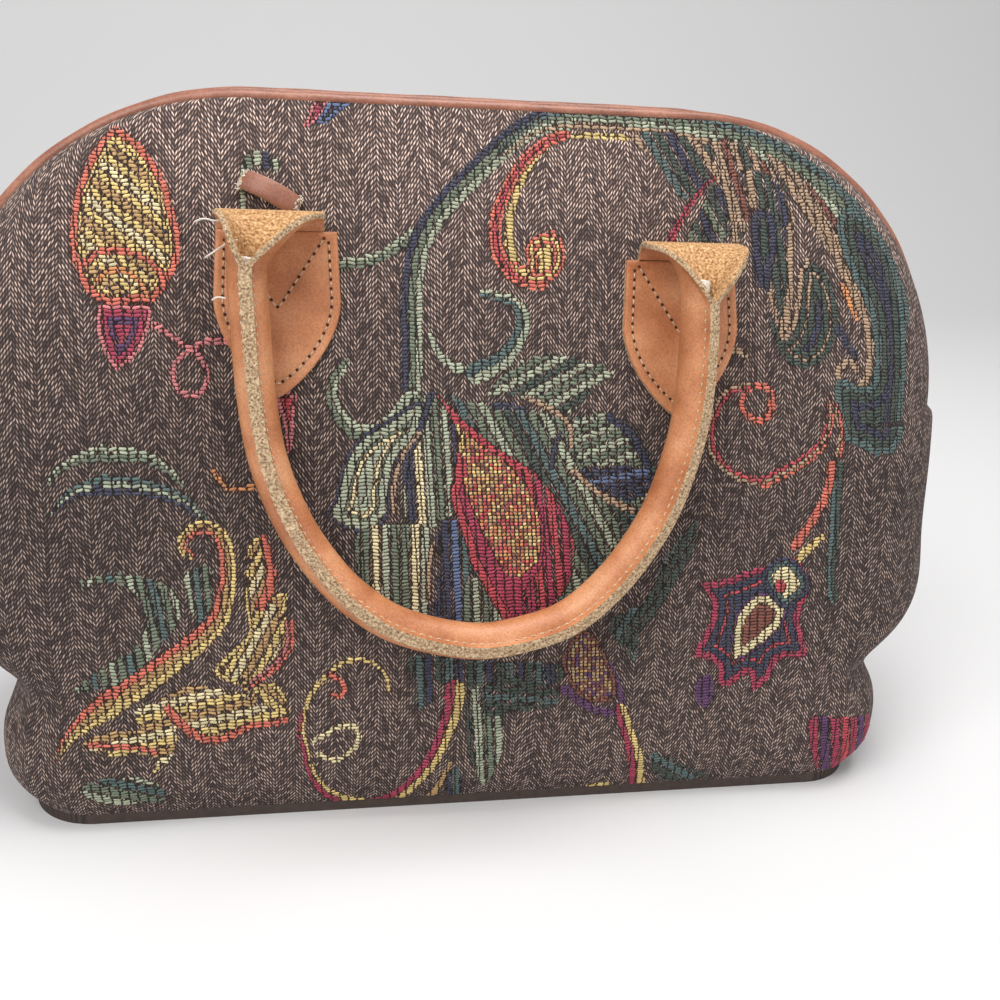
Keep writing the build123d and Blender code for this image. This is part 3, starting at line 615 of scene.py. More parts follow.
def make_lamp(name, place, aim, size, power):
    data = bpy.data.lights.new(name, "AREA")
    data.size = size
    data.energy = power
    lamp = add_object(name, data)
    lamp.location = place
    lamp.rotation_euler = (Vector(aim) - lamp.location).to_track_quat("-Z", "Y").to_euler()
    return lamp


def make_stage():
    make_floor()
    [make_lamp(name, *settings) for name, settings in lamps.items()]
    world = bpy.data.worlds.new("world")
    bpy.context.scene.world = world
    world.use_nodes = True
    background = world.node_tree.nodes["Background"]
    background.inputs["Color"].default_value = world_color
    background.inputs["Strength"].default_value = world_strength


# Meshes


def add_object(name, data):
    obj = bpy.data.objects.new(name, data)
    bpy.context.scene.collection.objects.link(obj)
    return obj


def add_piece(name, points, faces, looks, body="bag", slot=None, sharp=None):
    """A smooth piece from points in millimetres, with its materials, riding on a body."""
    mesh = bpy.data.meshes.new(name)
    faces = faces.tolist() if isinstance(faces, np.ndarray) else faces
    mesh.from_pydata((np.asarray(points) * MM).tolist(), [], faces)
    for look in looks:
        mesh.materials.append(look)
    if slot is not None:
        mesh.polygons.foreach_set("material_index", np.asarray(slot, np.int32))
    mesh.polygons.foreach_set("use_smooth", np.full(len(faces), True))
    if sharp:
        mesh.set_sharp_from_angle(angle=math.radians(sharp))
    obj = add_object(name, mesh)
    if body:
        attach(obj, body)
    return obj


def grid_faces(rows, columns, close=False):
    i = np.arange(rows - 1)[:, None] * columns
    j = np.arange(columns if close else columns - 1)[None, :]
    k = (j + 1) % columns
    return np.stack([i + j, i + k, i + k + columns, i + j + columns], -1).reshape(-1, 4)


def repeated(shape, points_each, count):
    """Faces of a shape of a number of points, once for each copy."""
    return (np.arange(count)[:, None, None] * points_each + np.array(shape)[None]).reshape(-1, len(shape[0]))


def tube_faces(rows, sides):
    """Faces of a tube of rings, with a cap at each end."""
    last = (rows - 1) * sides
    caps = [list(range(sides))[::-1], list(range(last, last + sides))]
    return grid_faces(rows, sides, close=True).tolist() + caps


def tube_points(line, radius, sides):
    """Points of a round tube along a line of points."""
    line = np.asarray(line, float)
    way = unit(np.gradient(line, axis=0))
    first = unit(np.cross(way, tube_start))
    second = np.cross(way, first)
    turn = np.linspace(0, 2 * math.pi, sides, endpoint=False)
    radius = np.broadcast_to(radius, len(line))[:, None, None]
    ring = np.cos(turn)[None, :, None] * first[:, None] + np.sin(turn)[None, :, None] * second[:, None]
    return (line[:, None] + ring * radius).reshape(-1, 3)


def make_tubes(name, lines, radius, sides, look, body):
    """Round tubes along lines of points, as one piece."""
    points, faces, start = [], [], 0
    for line in lines:
        points.append(tube_points(line, radius, sides))
        faces += [[start + v for v in face] for face in tube_faces(len(line), sides)]
        start += len(points[-1])
    return add_piece(name, np.vstack(points), faces, (look,), body)


def paint(obj, name, colors):
    """Keep a colour for each point of a piece."""
    layer = obj.data.color_attributes.new(name, "FLOAT_COLOR", "POINT")
    layer.data.foreach_set("color", np.c_[colors, np.ones(len(colors))].ravel())


def dress(look, *names):
    """Give solids of the frame their material."""
    for name in names:
        nodes[name].data.materials.clear()
        nodes[name].data.materials.append(look)


# Materials


def new_material(name, roughness, color=None):
    material = bpy.data.materials.new(name)
    material.use_nodes = True
    shader = material.node_tree.nodes["Principled BSDF"]
    if color:
        shader.inputs["Base Color"].default_value = color
    shader.inputs["Roughness"].default_value = roughness
    return material, material.node_tree, shader


def add_node(tree, kind, **settings):
    node = tree.nodes.new(kind)
    for key, value in settings.items():
        setattr(node, key, value)
    return node


def math_node(tree, operation, *values):
    node = add_node(tree, "ShaderNodeMath", operation=operation)
    for socket, value in zip(node.inputs, values):
        if isinstance(value, (int, float)):
            socket.default_value = value
        else:
            tree.links.new(value, socket)
    return node.outputs[0]


def ramp(tree, factor, stops):
    """Colours along a factor: pairs of a place and a screen colour."""
    node = tree.nodes.new("ShaderNodeValToRGB")
    marks = node.color_ramp.elements
    while len(marks) < len(stops):
        marks.new(0.5)
    for mark, (place, color) in zip(marks, stops):
        mark.position = place
        mark.color = linear(*color)
    tree.links.new(factor, node.inputs["Fac"])
    return node.outputs["Color"]


def noise(tree, scale, detail=3.0):
    """Noise over the piece's own coordinates in metres."""
    place = tree.nodes.new("ShaderNodeTexCoord")
    node = tree.nodes.new("ShaderNodeTexNoise")
    node.inputs["Scale"].default_value = scale
    node.inputs["Detail"].default_value = detail
    tree.links.new(place.outputs["Object"], node.inputs["Vector"])
    return node.outputs["Fac"]


def chance(tree, dimensions, socket, factor):
    """A random value for each value of a factor."""
    node = add_node(tree, "ShaderNodeTexWhiteNoise", noise_dimensions=dimensions)
    tree.links.new(factor, node.inputs[socket])
    return node.outputs["Value"]


def multiplied(tree, color, other, share):
    """A colour multiplied by another, by a share."""
    node = add_node(tree, "ShaderNodeMix", data_type="RGBA", blend_type="MULTIPLY")
    node.inputs[0].default_value = share
    tree.links.new(color, node.inputs[6])
    tree.links.new(other, node.inputs[7])
    return node.outputs[2]


def finish_look(tree, shader, color, height, strength, distance):
    """Join the colour and the relief of a material to its shader."""
    tree.links.new(color, shader.inputs["Base Color"])
    node = tree.nodes.new("ShaderNodeBump")
    node.inputs["Strength"].default_value = strength
    node.inputs["Distance"].default_value = distance
    tree.links.new(height, node.inputs["Height"])
    tree.links.new(node.outputs["Normal"], shader.inputs["Normal"])


def leather_material(name, dark, middle, pale, roughness=0.42, pores=1400.0):
    """Smooth grain leather with clouding and fine pores."""
    material, tree, shader = new_material(name, roughness)
    cloud = noise(tree, scale=55.0, detail=5.0)
    color = ramp(tree, cloud, [(0.25, dark), (0.5, middle), (0.75, pale)])
    fine = noise(tree, scale=pores, detail=2.0)
    speck = ramp(tree, fine, [(0.3, (214, 214, 214)), (0.6, (255, 255, 255))])
    color = multiplied(tree, color, speck, share=0.8)
    sheen = math_node(tree, "MULTIPLY_ADD", cloud, 0.25, roughness - 0.1)
    tree.links.new(sheen, shader.inputs["Roughness"])
    grain = math_node(tree, "ADD", fine, noise(tree, scale=240.0))
    finish_look(tree, shader, color, grain, strength=0.35, distance=0.0003)
    return material


def rough_material(name, dark, middle, pale, scale, strength=0.8):
    """Flesh side or raw edge of leather: matt and fibrous."""
    material, tree, shader = new_material(name, 0.95)
    fibre = noise(tree, scale, detail=4.0)
    color = ramp(tree, fibre, [(0.3, dark), (0.5, middle), (0.68, pale)])
    finish_look(tree, shader, color, fibre, strength, distance=0.0008)
    return material


def woven_material(name, dark, pale, pitch):
    """Plain close weave from crossed waves over the piece's own coordinates."""
    material, tree, shader = new_material(name, 0.9)
    place = tree.nodes.new("ShaderNodeTexCoord")
    split = tree.nodes.new("ShaderNodeSeparateXYZ")
    tree.links.new(place.outputs["Object"], split.inputs[0])
    waves = []
    for axis in range(3):
        turn = math_node(tree, "MULTIPLY", split.outputs[axis], 2 * math.pi / (pitch * MM))
        waves.append(math_node(tree, "ABSOLUTE", math_node(tree, "SINE", turn)))
    pairs = [math_node(tree, "MAXIMUM", waves[k], waves[k + 1]) for k in range(2)]
    uneven = math_node(tree, "ADD", noise(tree, scale=300.0), 0.4)
    weave = math_node(tree, "MULTIPLY", math_node(tree, "MULTIPLY", *pairs), uneven)
    color = ramp(tree, weave, [(0.15, dark), (0.8, pale)])
    finish_look(tree, shader, color, weave, strength=0.6, distance=0.0004)
    return material


def metal_material(name, dark, pale, roughness):
    """Worn cast metal."""
    material, tree, shader = new_material(name, roughness)
    shader.inputs["Metallic"].default_value = 0.9
    wear = noise(tree, scale=420.0, detail=4.0)
    color = ramp(tree, wear, [(0.35, dark), (0.65, pale)])
    finish_look(tree, shader, color, wear, strength=0.15, distance=0.0002)
    return material


def thread_material():
    material, tree, shader = new_material("threads", 0.62)
    tint = add_node(tree, "ShaderNodeAttribute", attribute_name="thread")
    tree.links.new(tint.outputs["Color"], shader.inputs["Base Color"])
    return material


def herringbone(tree):
    """Height of short leaning flecks in columns, over the length and height of the cloth."""
    def calc(operation, *values):
        return math_node(tree, operation, *values)

    def hump(share, power):
        return calc("POWER", calc("SINE", calc("MULTIPLY", share, math.pi)), power)

    place = add_node(tree, "ShaderNodeUVMap", uv_map="cloth")
    split, cell = (tree.nodes.new("ShaderNode" + kind) for kind in ("SeparateXYZ", "CombineXYZ"))
    tree.links.new(place.outputs["UV"], split.inputs[0])
    across = calc("MULTIPLY", split.outputs[0], uv_unit / fleck_width)
    column = calc("FLOOR", across)
    band = calc("FLOOR", calc("DIVIDE", column, band_columns))
    lean = calc("SUBTRACT", calc("MULTIPLY", calc("PINGPONG", band, 1.0), 2.0), 1.0)
    slope = calc("MULTIPLY", lean, calc("MULTIPLY", across, fleck_slope))
    stagger = calc("MULTIPLY", chance(tree, "1D", "W", column), fleck_stagger)
    climb = calc("MULTIPLY", split.outputs[1], uv_unit / fleck_height)
    climb = calc("ADD", climb, calc("ADD", slope, stagger))
    row = calc("FLOOR", climb)
    ridge = hump(calc("SUBTRACT", across, column), 0.6)
    fleck = calc("MULTIPLY", hump(calc("SUBTRACT", climb, row), 1.6), ridge)
    tree.links.new(column, cell.inputs[0])
    tree.links.new(row, cell.inputs[1])
    uneven = calc("ADD", calc("MULTIPLY", chance(tree, "2D", "Vector", cell.outputs[0]), 0.8), 0.2)
    return calc("MULTIPLY", fleck, uneven)


def cloth_material(name, dark, middle, pale):
    """Herringbone cloth, clouded, and tinted by painted shade under the pattern and painted light by height.
    """
    material, tree, shader = new_material(name, 0.95)
    light = herringbone(tree)
    color = ramp(tree, light, [(0.1, dark), (0.4, middle), (0.85, pale)])
    cloud = ramp(tree, noise(tree, scale=22.0, detail=4.0), [(0.3, (228, 226, 224)), (0.7, (255, 255, 255))])
    # The under colour holds painted shade under the pattern and painted light by height on the plain cloth
    tint = add_node(tree, "ShaderNodeAttribute", attribute_name="under")
    for other in (cloud, tint.outputs["Color"]):
        color = multiplied(tree, color, other, share=1.0)
    finish_look(tree, shader, color, light, strength=0.9, distance=0.0005)
    return material


# The woven pattern


def nearest(points, line):
    """Distance to a line, side of it and share of the way along it."""
    best = np.full(len(points), 1e9)
    side = np.zeros(len(points))
    way = np.zeros(len(points))
    count = len(line) - 1
    for k in range(count):
        run = line[k + 1] - line[k]
        off = points - line[k]
        t = np.clip(off @ run / max(run @ run, 1e-9), 0, 1)
        gap = off - t[:, None] * run
        reach = np.hypot(gap[:, 0], gap[:, 1])
        near = reach < best
        best[near] = reach[near]
        side[near] = np.sign(run[0] * off[near, 1] - run[1] * off[near, 0])
        way[near] = (k + t[near]) / count
    return best, side, way


def inside(points, line):
    odd = np.zeros(len(points), bool)
    for (x0, y0), (x1, y1) in zip(line, np.roll(line, -1, 0)):
        if y0 == y1:
            continue
        cross = (y0 > points[:, 1]) != (y1 > points[:, 1])
        odd ^= cross & (points[:, 0] < (x1 - x0) * (points[:, 1] - y0) / (y1 - y0) + x0)
    return odd


def yarn_numbers(names):
    return np.array([yarn_names.index(name) for name in names])


def in_bands(points, line, bands):
    """Yarn and band of points inside a field."""
    depth = nearest(points, np.vstack([line, line[:1]]))[0]
    edges = np.cumsum([width for _, width in bands])[:-1]
    band = np.searchsorted(edges, depth, side="right")
    return yarn_numbers([name for name, _ in bands])[band], band


def in_stripes(points, _, angle, pitch, names):
    """Yarn and stripe of points inside an outline, with a dark line between stripes."""
    turn = math.radians(angle)
    way = (points @ np.array((-math.sin(turn), math.cos(turn)))) / pitch
    stripe = np.floor(way).astype(int)
    yarn = yarn_numbers(names)[stripe % len(names)]
    return np.where(way - stripe > stripe_share, plain_ground, yarn), stripe % lanes_each


def in_lanes(points, line, start, end, names):
    """Yarn and lane of points on a stem."""
    gap, side, way = nearest(points, line)
    half = (start + (end - start) * way) / 2
    lane = np.clip(((side * gap / half + 1) / 2 * len(names)).astype(int), 0, len(names) - 1)
    return np.where(gap < half, yarn_numbers(names)[lane], left_as_it_is), lane


def yarn_at(points):
    """Number of the yarn at each place of the picture plane, or -1 for the plain ground, and its lane."""
    fill = {"field": in_bands, "stripes": in_stripes, "stem": in_lanes}
    yarn = np.full(len(points), plain_ground)
    lane = np.zeros(len(points), int)
    for number, (kind, outline, *rest) in enumerate(pattern):
        closed = kind != "stem"
        line = rounded(outline, closed)
        margin = field_margin if closed else max(rest[:2])
        low, high = line.min(0) - margin, line.max(0) + margin
        here = np.flatnonzero(((points > low) & (points < high)).all(1))
        if closed and len(here):
            here = here[inside(points[here], line)]
        if not len(here):
            continue
        found, part = fill[kind](points[here], line, *rest)
        on = found != left_as_it_is
        yarn[here[on]] = found[on]
        lane[here[on]] = number * lanes_each + part[on]
    return yarn, lane


def palette():
    """Linear colours of the plain yarns."""
    return np.array([linear(*color)[:3] for color in yarns.values()])


def thread_rows():
    """Heights of the rows, evenly spaced up the cloth."""
    z = np.linspace(base_thickness + row_margin, top_height - row_margin, row_samples)
    length = np.concatenate([[0], np.cumsum(np.hypot(np.diff(z), np.diff(half_depth(z))))])
    return np.interp(np.arange(0, length[-1], row_pitch), length, z)


def float_yarn(number):
    """The yarn of one float: a mixed yarn takes one of its colours."""
    if number < len(yarns):
        return number
    choice = mixed_yarns[yarn_names[number]]
    return yarn_names.index(choice[rng.integers(len(choice))])


def lay_floats():
    """Middle, half length, height, yarn and lean of every float of the pattern."""
    rows = thread_rows()
    most = float(panel_reach(rows).max())
    s = np.arange(-most, most, sample_step)
    ss, zz = np.meshgrid(s, rows)
    on = np.abs(ss) < panel_reach(zz) - side_margin
    yarn = np.full(ss.shape, plain_ground)
    lane = np.zeros(ss.shape, int)
    yarn[on], lane[on] = yarn_at(on_sheet(ss[on], zz[on]) + rng.normal(0, pattern_uneven, (on.sum(), 2)))
    mixed = yarn >= len(yarns)
    out = []
    for k, z in enumerate(rows):
        cell = np.floor((s + k * row_shift) / float_length).astype(int)
        short = np.floor((s + k * row_shift) / float_length * 2).astype(int)
        part = np.where(mixed[k], short, cell)
        change = (np.diff(yarn[k]) != 0) | (np.diff(lane[k]) != 0) | (np.diff(part) != 0)
        cut = np.flatnonzero(change) + 1
        for first, last in zip(np.concatenate([[0], cut]), np.concatenate([cut, [len(s)]])):
            if yarn[k, first] < 0 or last - first < least_samples:
                continue
            half = (last - first) * sample_step / 2 - float_end_gap
            out.append(((s[first] + s[last - 1]) / 2, half, z, float_yarn(yarn[k, first]), cell[first] % 2))
    return np.array(out)


def make_floats(name, floats, look, turned):
    """One small raised thread for each float."""
    mid, half, z, yarn, lean = floats.T
    p, along, up, normal = panel_frame(mid, z)
    slope = float_lean * (2 * lean - 1) + rng.normal(0, float_uneven, len(mid))
    lift = float_height * rng.uniform(*float_lifts, len(mid)) * np.clip(half / full_lift_half, least_lift, 1)
    parts = []
    for t, w, h in float_shape:
        run = t * half
        rise = slope * run + w * float_half_width
        parts.append(p + along * run[:, None] + up * rise[:, None] + normal * (h * lift)[:, None])
    points = placed(np.stack(parts, 1).reshape(-1, 3), turned)
    obj = add_piece(name, points, repeated(float_skin, len(float_shape), len(mid)), (look,))
    shade = rng.uniform(*float_shades, len(mid))[:, None] * palette()[yarn.astype(int)]
    paint(obj, "thread", np.repeat(shade, len(float_shape), 0))
    return obj


def make_panel(name, look, turned):
    """One wall of cloth, with painted shade under the pattern, a darkened copy of each yarn's colour, and
    painted light by height on the plain cloth.
    """
    low = np.linspace(base_thickness, shoulder_height, panel_low_rows, endpoint=False)
    turn = np.linspace(0, math.pi / 2, panel_high_rows)
    z = np.concatenate([low, shoulder_height + shoulder_radius * np.sin(turn)])
    zz = np.repeat(z[:, None], panel_columns, 1)
    s = np.linspace(-1, 1, panel_columns)[None, :] * panel_reach(z)[:, None]
    points = panel_frame(s, zz)[0]
    x, y, top = points[-1].T
    hem = np.stack([x, np.maximum(y, -hem_half_depth), top - hem_drop], -1)
    points = placed(np.vstack([points, hem[None]]).reshape(-1, 3), turned)
    s, zz = np.vstack([s, s[-1:]]), np.vstack([zz, zz[-1:] + top_half_depth - hem_half_depth])
    obj = add_piece(name, points, grid_faces(len(z) + 1, panel_columns), (look,))
    lay_out(obj.data, np.stack([s, zz], -1).reshape(-1, 2) / uv_unit)
    yarn, _ = yarn_at(on_sheet(s.ravel(), zz.ravel()))
    behind = np.vstack([palette(), [shade_behind_mixed] * (len(mixed_yarns) + 1)])
    # Painted light: the plain cloth is made paler near the bottom and the top and darker in the middle
    plain = np.interp(zz.ravel(), painted_light_heights, painted_light_tints)
    # Painted shade: under the pattern the cloth takes a darkened copy of its yarn's colour, for the shade in
    # the gaps between floats
    tint = np.where((yarn >= 0)[:, None], under_shade_base + under_shade_share * behind[yarn], plain[:, None])
    paint(obj, "under", tint)
    return obj


def lay_out(mesh, flat):
    """Keep the place of each point on the flat cloth."""
    layer = mesh.uv_layers.new(name="cloth")
    index = np.empty(len(mesh.loops), int)
    mesh.loops.foreach_get("vertex_index", index)
    layer.data.foreach_set("uv", flat[index].ravel())


# Trim along the top


def dome_line(depth, skin, foot, step):
    """Line round the dome at a depth, from the left foot to the right one."""
    radius = shoulder_radius + skin
    turn = np.linspace(math.pi, math.pi / 2, dome_sections)
    left = np.stack([-dome_half_width + radius * np.cos(turn), shoulder_height + radius * np.sin(turn)], -1)
    side = np.array([(-half_width - skin, foot)])
    flat = np.vstack([side, left, left[::-1] * (-1, 1), side * (-1, 1)])
    flat = even(flat, int(run_length(flat) / step))
    return np.stack([flat[:, 0], np.full(len(flat), depth), flat[:, 1]], -1)


def piping_line():
    """Line of the front bead, which runs in to the end of the zip at both sides."""
    line = dome_line(-gusset_half_depth, 0.0, piping_bend_height, 1.0)
    run = np.linspace(0, 1, piping_end_steps)[:, None]
    end = np.array((half_width, piping_end_y, piping_end_height))
    head_end = end * (-1, 1, 1)
    head = head_end + (line[0] - head_end) * run[:-1]
    tail = line[-1] + (end - line[-1]) * run[1:]
    whole = np.vstack([head, line, tail])
    for _ in range(piping_passes):
        whole[1:-1] = (whole[:-2] + 2 * whole[1:-1] + whole[2:]) / 4
    return whole


def make_piping(name, look, turned):
    """Leather bead, a little uneven in thickness."""
    line = placed(piping_line(), turned)
    way = np.arange(len(line))
    radius = piping_radius * (1 + 0.03 * np.sin(way / 9.0) + 0.02 * np.sin(way / 3.7 + 1.1))
    return make_tubes(name, [line], radius, piping_sides, look, "bag")


def make_teeth(name, look, turned):
    """One row of the fine teeth, each a small bent bar."""
    line = dome_line(0.0, tooth_skin, tooth_foot_height, tooth_pitch)
    way = unit(np.gradient(line, axis=0))
    side = np.array((0, 1, 0))
    out = np.cross(way, side) * -1
    pick = np.arange(0 if turned else 1, len(line), 2)
    corners = []
    for half in (-tooth_half, tooth_half):
        for y, z in tooth_outline:
            corners.append(line[pick] + way[pick] * half + side * y * (1 if turned else -1) + out[pick] * z)
    count = len(tooth_outline)
    faces = []
    for start in range(0, len(pick) * 2 * count, 2 * count):
        faces += [[start + v for v in face] for face in tube_faces(2, count)]
    return add_piece(name, np.stack(corners, 1).reshape(-1, 3), faces, (look,), sharp=tooth_sharp)


# Handles


def crest_line(end):
    """Middle line of the leather from the top of a leaf over the crest, down to the start of the mouth."""
    centre, top, _ = strap_ends[end]
    centre += math.copysign(crest_shift, centre)
    lean = float(lean_at(top))
    out = leather / 2 + lip_radius
    y = -half_depth(np.array(top)) - out * math.cos(lean)
    z = top + out * math.sin(lean)
    turn = np.linspace(-lean, math.pi / 2, lip_sections)
    crest = [np.full(lip_sections, centre), y + lip_radius * np.cos(turn), z + lip_radius * np.sin(turn)]
    return np.vstack([np.stack(crest, -1), (centre, y - lip_reach, z + lip_radius)])


def mouth_line(start, finish, beyond):
    """Middle line of a mouth, from the end of its crest to the rolled leg."""
    tilt = math.radians(mouth_tilt)
    down = np.array((0, -math.sin(tilt), -math.cos(tilt))) * mouth_chord * mouth_bow_share
    leg = (beyond - finish) / np.linalg.norm(beyond - finish) * leg_bow
    return bow(start, down, finish, leg, mouth_sections)


def strap_line():
    """Middle line of the whole strap, with how far it is rolled and how its seam turns."""
    roll = even(on_hang_plane(rounded(handle_line, False)), roll_sections)
    left, right = crest_line("left"), crest_line("right")
    first, last = mouth_line(left[-1], roll[0], roll[1]), mouth_line(right[-1], roll[-1], roll[-2])
    line = np.vstack([left[:-1], first[:-1], roll, last[-2::-1], right[-2::-1]])
    opening = np.linspace(0, 1, mouth_sections)
    flat, before = np.zeros(len(left) - 1), len(left) + mouth_sections - 2
    closed = np.concatenate([flat, opening[:-1], np.ones(len(roll)), opening[-2::-1], flat])
    share = np.concatenate([np.zeros(before), np.linspace(0, 1, len(roll)), np.ones(before)])
    turns = np.array(seam_turns, float)
    return line, closed, np.radians(np.interp(share, turns[:, 0], turns[:, 1])) * closed**2


def strap_frames(line, closed, turn):
    """Direction, width axis and seam axis at each place of the strap."""
    way = unit(np.gradient(line, axis=0))
    side = np.where(np.arange(len(line)) < len(line) // 2, 1.0, -1.0)[:, None]
    over = unit(np.stack([0 * way[:, 0], way[:, 2], -way[:, 1]], -1) * side)
    seam = np.where(closed[:, None] < 1, over, hang_plane()[1])
    seam = seam * np.cos(turn)[:, None] + np.cross(way, seam) * np.sin(turn)[:, None]
    wide = np.cross(way, seam)
    level = np.sign(wide[:, :1]) * np.array((1.0, 0.0, 0.0))
    share = closed[:, None] ** 2
    return way, unit(share * wide + (1 - share) * level), seam


def roll_section(closed, samples):
    """Middle line of the leather across the strap: flat at 0 and rolled to a tube at 1."""
    length = np.linspace(-strap_half, strap_half, samples)
    fine = np.linspace(0, strap_half, roll_samples)
    bend = np.where(fine < roll_arc, 1 / roll_middle, 0) * closed
    angle = np.concatenate([[0], np.cumsum((bend[1:] + bend[:-1]) / 2 * np.diff(fine))])
    angle = angle - seam_bend * closed * np.clip((fine - roll_arc + seam_kick) / (2 * seam_kick), 0, 1)
    middle = (angle[1:] + angle[:-1]) / 2
    x, y = (np.concatenate([[0], np.cumsum(part(middle) * np.diff(fine))]) for part in (np.cos, np.sin))
    at, side = np.abs(length), np.sign(length)
    return side * np.interp(at, fine, x), np.interp(at, fine, y), np.interp(at, fine, angle) * side


def strap_rings(line, closed, turn):
    """Points round every section of the strap, grain side first, then edge, flesh side and edge."""
    _, wide, seam = strap_frames(line, closed, turn)
    rings = []
    for k, place in enumerate(line):
        x, y, slope = roll_section(closed[k], strap_across)
        size = crest_share + (1 - crest_share) * closed[k]
        middle = np.stack([x * size, y * size - roll_middle * closed[k]], -1)
        inward = np.stack([-np.sin(slope), np.cos(slope)], -1) * leather / 2
        along = np.stack([np.cos(slope), np.sin(slope)], -1) * edge_round
        grain, flesh = middle - inward, middle + inward
        ring = np.vstack([grain, middle[-1:] + along[-1:], flesh[::-1], middle[:1] - along[:1]])
        rings.append(place + ring[:, :1] * wide[k] + ring[:, 1:] * seam[k])
    return np.array(rings)


def make_strap(name, looks, turned):
    """The handle: leather that opens at both mouths and is rolled between them, seam outward."""
    line, closed, turn = strap_line()
    rings = strap_rings(line, closed, turn)
    count = rings.shape[1]
    for seed, rim in zip(edge_seeds, (strap_across, -1)):
        rings[:, rim] += np.random.default_rng(seed).normal(0, edge_wobble, rings[:, rim].shape)
    column = np.tile(np.arange(count), len(line) - 1)
    edge = (column == strap_across - 1) | (column == strap_across) | (column >= count - 2)
    slot = np.where(edge, 2, np.where(column < strap_across, 0, 1))
    low = np.arange(strap_across - 1)
    high = count - 2 - low
    cap = np.stack([low, low + 1, high - 1, high], -1)
    skin = grid_faces(len(line), count, close=True)[:, ::-1]
    faces = np.vstack([skin, cap, cap[:, ::-1] + (len(line) - 1) * count])
    slot = np.concatenate([slot, np.full(2 * len(cap), 2)])
    return add_piece(name, placed(rings.reshape(-1, 3), turned), faces, looks, None, slot, strap_sharp)


def make_thread_ends(name, look):
    """Short ends of thread that stand off the edge of the leather."""
    stand = hang_plane()[1] * thread_end_stand
    lines = [on_hang_plane(rounded(line, False)) + stand for line in thread_ends]
    return make_tubes(name, lines, thread_end_radius, stitch_sides, look, None)


def make_stitches(name, places, ways, normals, look, body):
    """Short raised threads, their ends sunk in."""
    turn = np.linspace(0, 2 * math.pi, stitch_sides, endpoint=False)
    side = np.cross(normals, ways)
    ring = []
    for along, rise, size in stitch_rows:
        middle = places + ways * along * stitch_length + normals * rise * stitch_radius
        for a in turn:
            ring.append(middle + (side * math.cos(a) + normals * math.sin(a)) * stitch_radius * size)
    skin = grid_faces(len(stitch_rows), stitch_sides, close=True)
    faces = repeated(skin, len(ring), len(places))
    return add_piece(name, np.stack(ring, 1).reshape(-1, 3), faces, (look,), body)


def make_holes(name, places, normals, look):
    """Small dark discs for the painted shade inside the needle holes, lying just proud of the leather."""
    first = unit(np.cross(normals, hole_start))
    second = np.cross(normals, first)
    turn = np.linspace(0, 2 * math.pi, hole_sides, endpoint=False)
    ring = [places + (first * math.cos(a) + second * math.sin(a)) * hole_radius for a in turn]
    faces = repeated([range(hole_sides)], hole_sides, len(places))
    return add_piece(name, np.stack(ring, 1).reshape(-1, 3), faces, (look,))


def leaf_outline(length):
    """Outline of a leaf from its top left corner round the tip to the top right: across, then down."""
    side = leaf_side_share * length
    down = np.linspace(0, 1, leaf_points) * length
    low = np.clip((down - side) / (length - side), 0, 1)
    upper = leaf_top_half_width + (leaf_half_width - leaf_top_half_width) * down / side
    wide = np.where(down < side, upper, leaf_half_width * (1 - low**leaf_belly) ** leaf_tip)
    left = np.stack([-wide, down], -1)
    right = np.stack([wide, down], -1)[::-1][1:]
    return even(np.vstack([left, right]), 2 * leaf_points)


def leaf_scaled(length, scale):
    """Outline of a leaf, drawn in towards its middle."""
    middle = np.array((0.0, leaf_side_share * length))
    return middle + (leaf_outline(length) - middle) * scale


def cloth_drop(top, length):
    """Height of the cloth after a length down it from the top."""
    z = top
    for _ in range(drop_steps):
        z = z - length / drop_steps * np.cos(lean_at(z))
    return z


def leaf_place(end, flat, rise):
    """Point and axes of a leaf at places of its flat form, at a rise over the cloth."""
    centre, top, _ = strap_ends[end]
    across, down = np.asarray(flat, float).T
    p, along, up, normal = panel_frame(centre + across, np.array([cloth_drop(top, d) for d in down]))
    return p + normal * rise, along, up, normal


def make_leaf(name, end, looks, turned):
    """Leaf of leather with a rounded edge and a sewn groove."""
    length = strap_ends[end][2]
    points = [leaf_place(end, leaf_scaled(length, scale), rise)[0] for scale, rise in leaf_rings]
    count, last = len(points[0]), (len(leaf_rings) - 1) * len(points[0])
    points.append(leaf_place(end, [(0.0, leaf_side_share * length)], leaf_rise)[0])
    faces = grid_faces(len(leaf_rings), count, close=True).tolist()
    faces += [[last + k, last + (k + 1) % count, last + count] for k in range(count)]
    slot = np.arange(len(faces)) < count
    return add_piece(name, placed(np.vstack(points), turned), faces, looks, "bag", slot, leaf_sharp)


def leaf_stitch_lines(end):
    """The row along the edge of a leaf and the row in a V below the mouth."""
    length = strap_ends[end][2]
    edge = leaf_scaled(length, groove_share)
    deep = vee_share * length
    right = np.array([(0, deep), (1.3, deep - 1.2), (8.0, 0.55 * deep), (15.5, 2.5)])
    return edge[edge[:, 1] > groove_top], np.vstack([right[:0:-1] * (-1, 1), right])


def sew_leaf(name, end, looks, turned):
    """Stitches and needle holes of a leaf."""
    places, ways, normals, dots = [], [], [], []
    for line, rise in zip(leaf_stitch_lines(end), (groove_rise, face_rise)):
        at = even(line, 2 * int(run_length(line) / stitch_pitch) + 1)
        middle, ends = at[1::2], at[::2]
        p, along, up, normal = leaf_place(end, middle, rise)
        run = unit(ends[1:] - ends[:-1])
        places.append(p)
        ways.append(along * run[:, :1] - up * run[:, 1:])
        normals.append(normal)
        dots.append(leaf_place(end, ends, rise + hole_lift)[0])
    places, ways, normals, dots = (placed(np.vstack(a), turned) for a in (places, ways, normals, dots))
    make_stitches(name + "_stitches", places, ways, normals, looks["thread"], "bag")
    spread = np.vstack([normals[:1]] * len(dots))
    make_holes(name + "_holes", dots + spread * hole_lift, spread, looks["hole"])


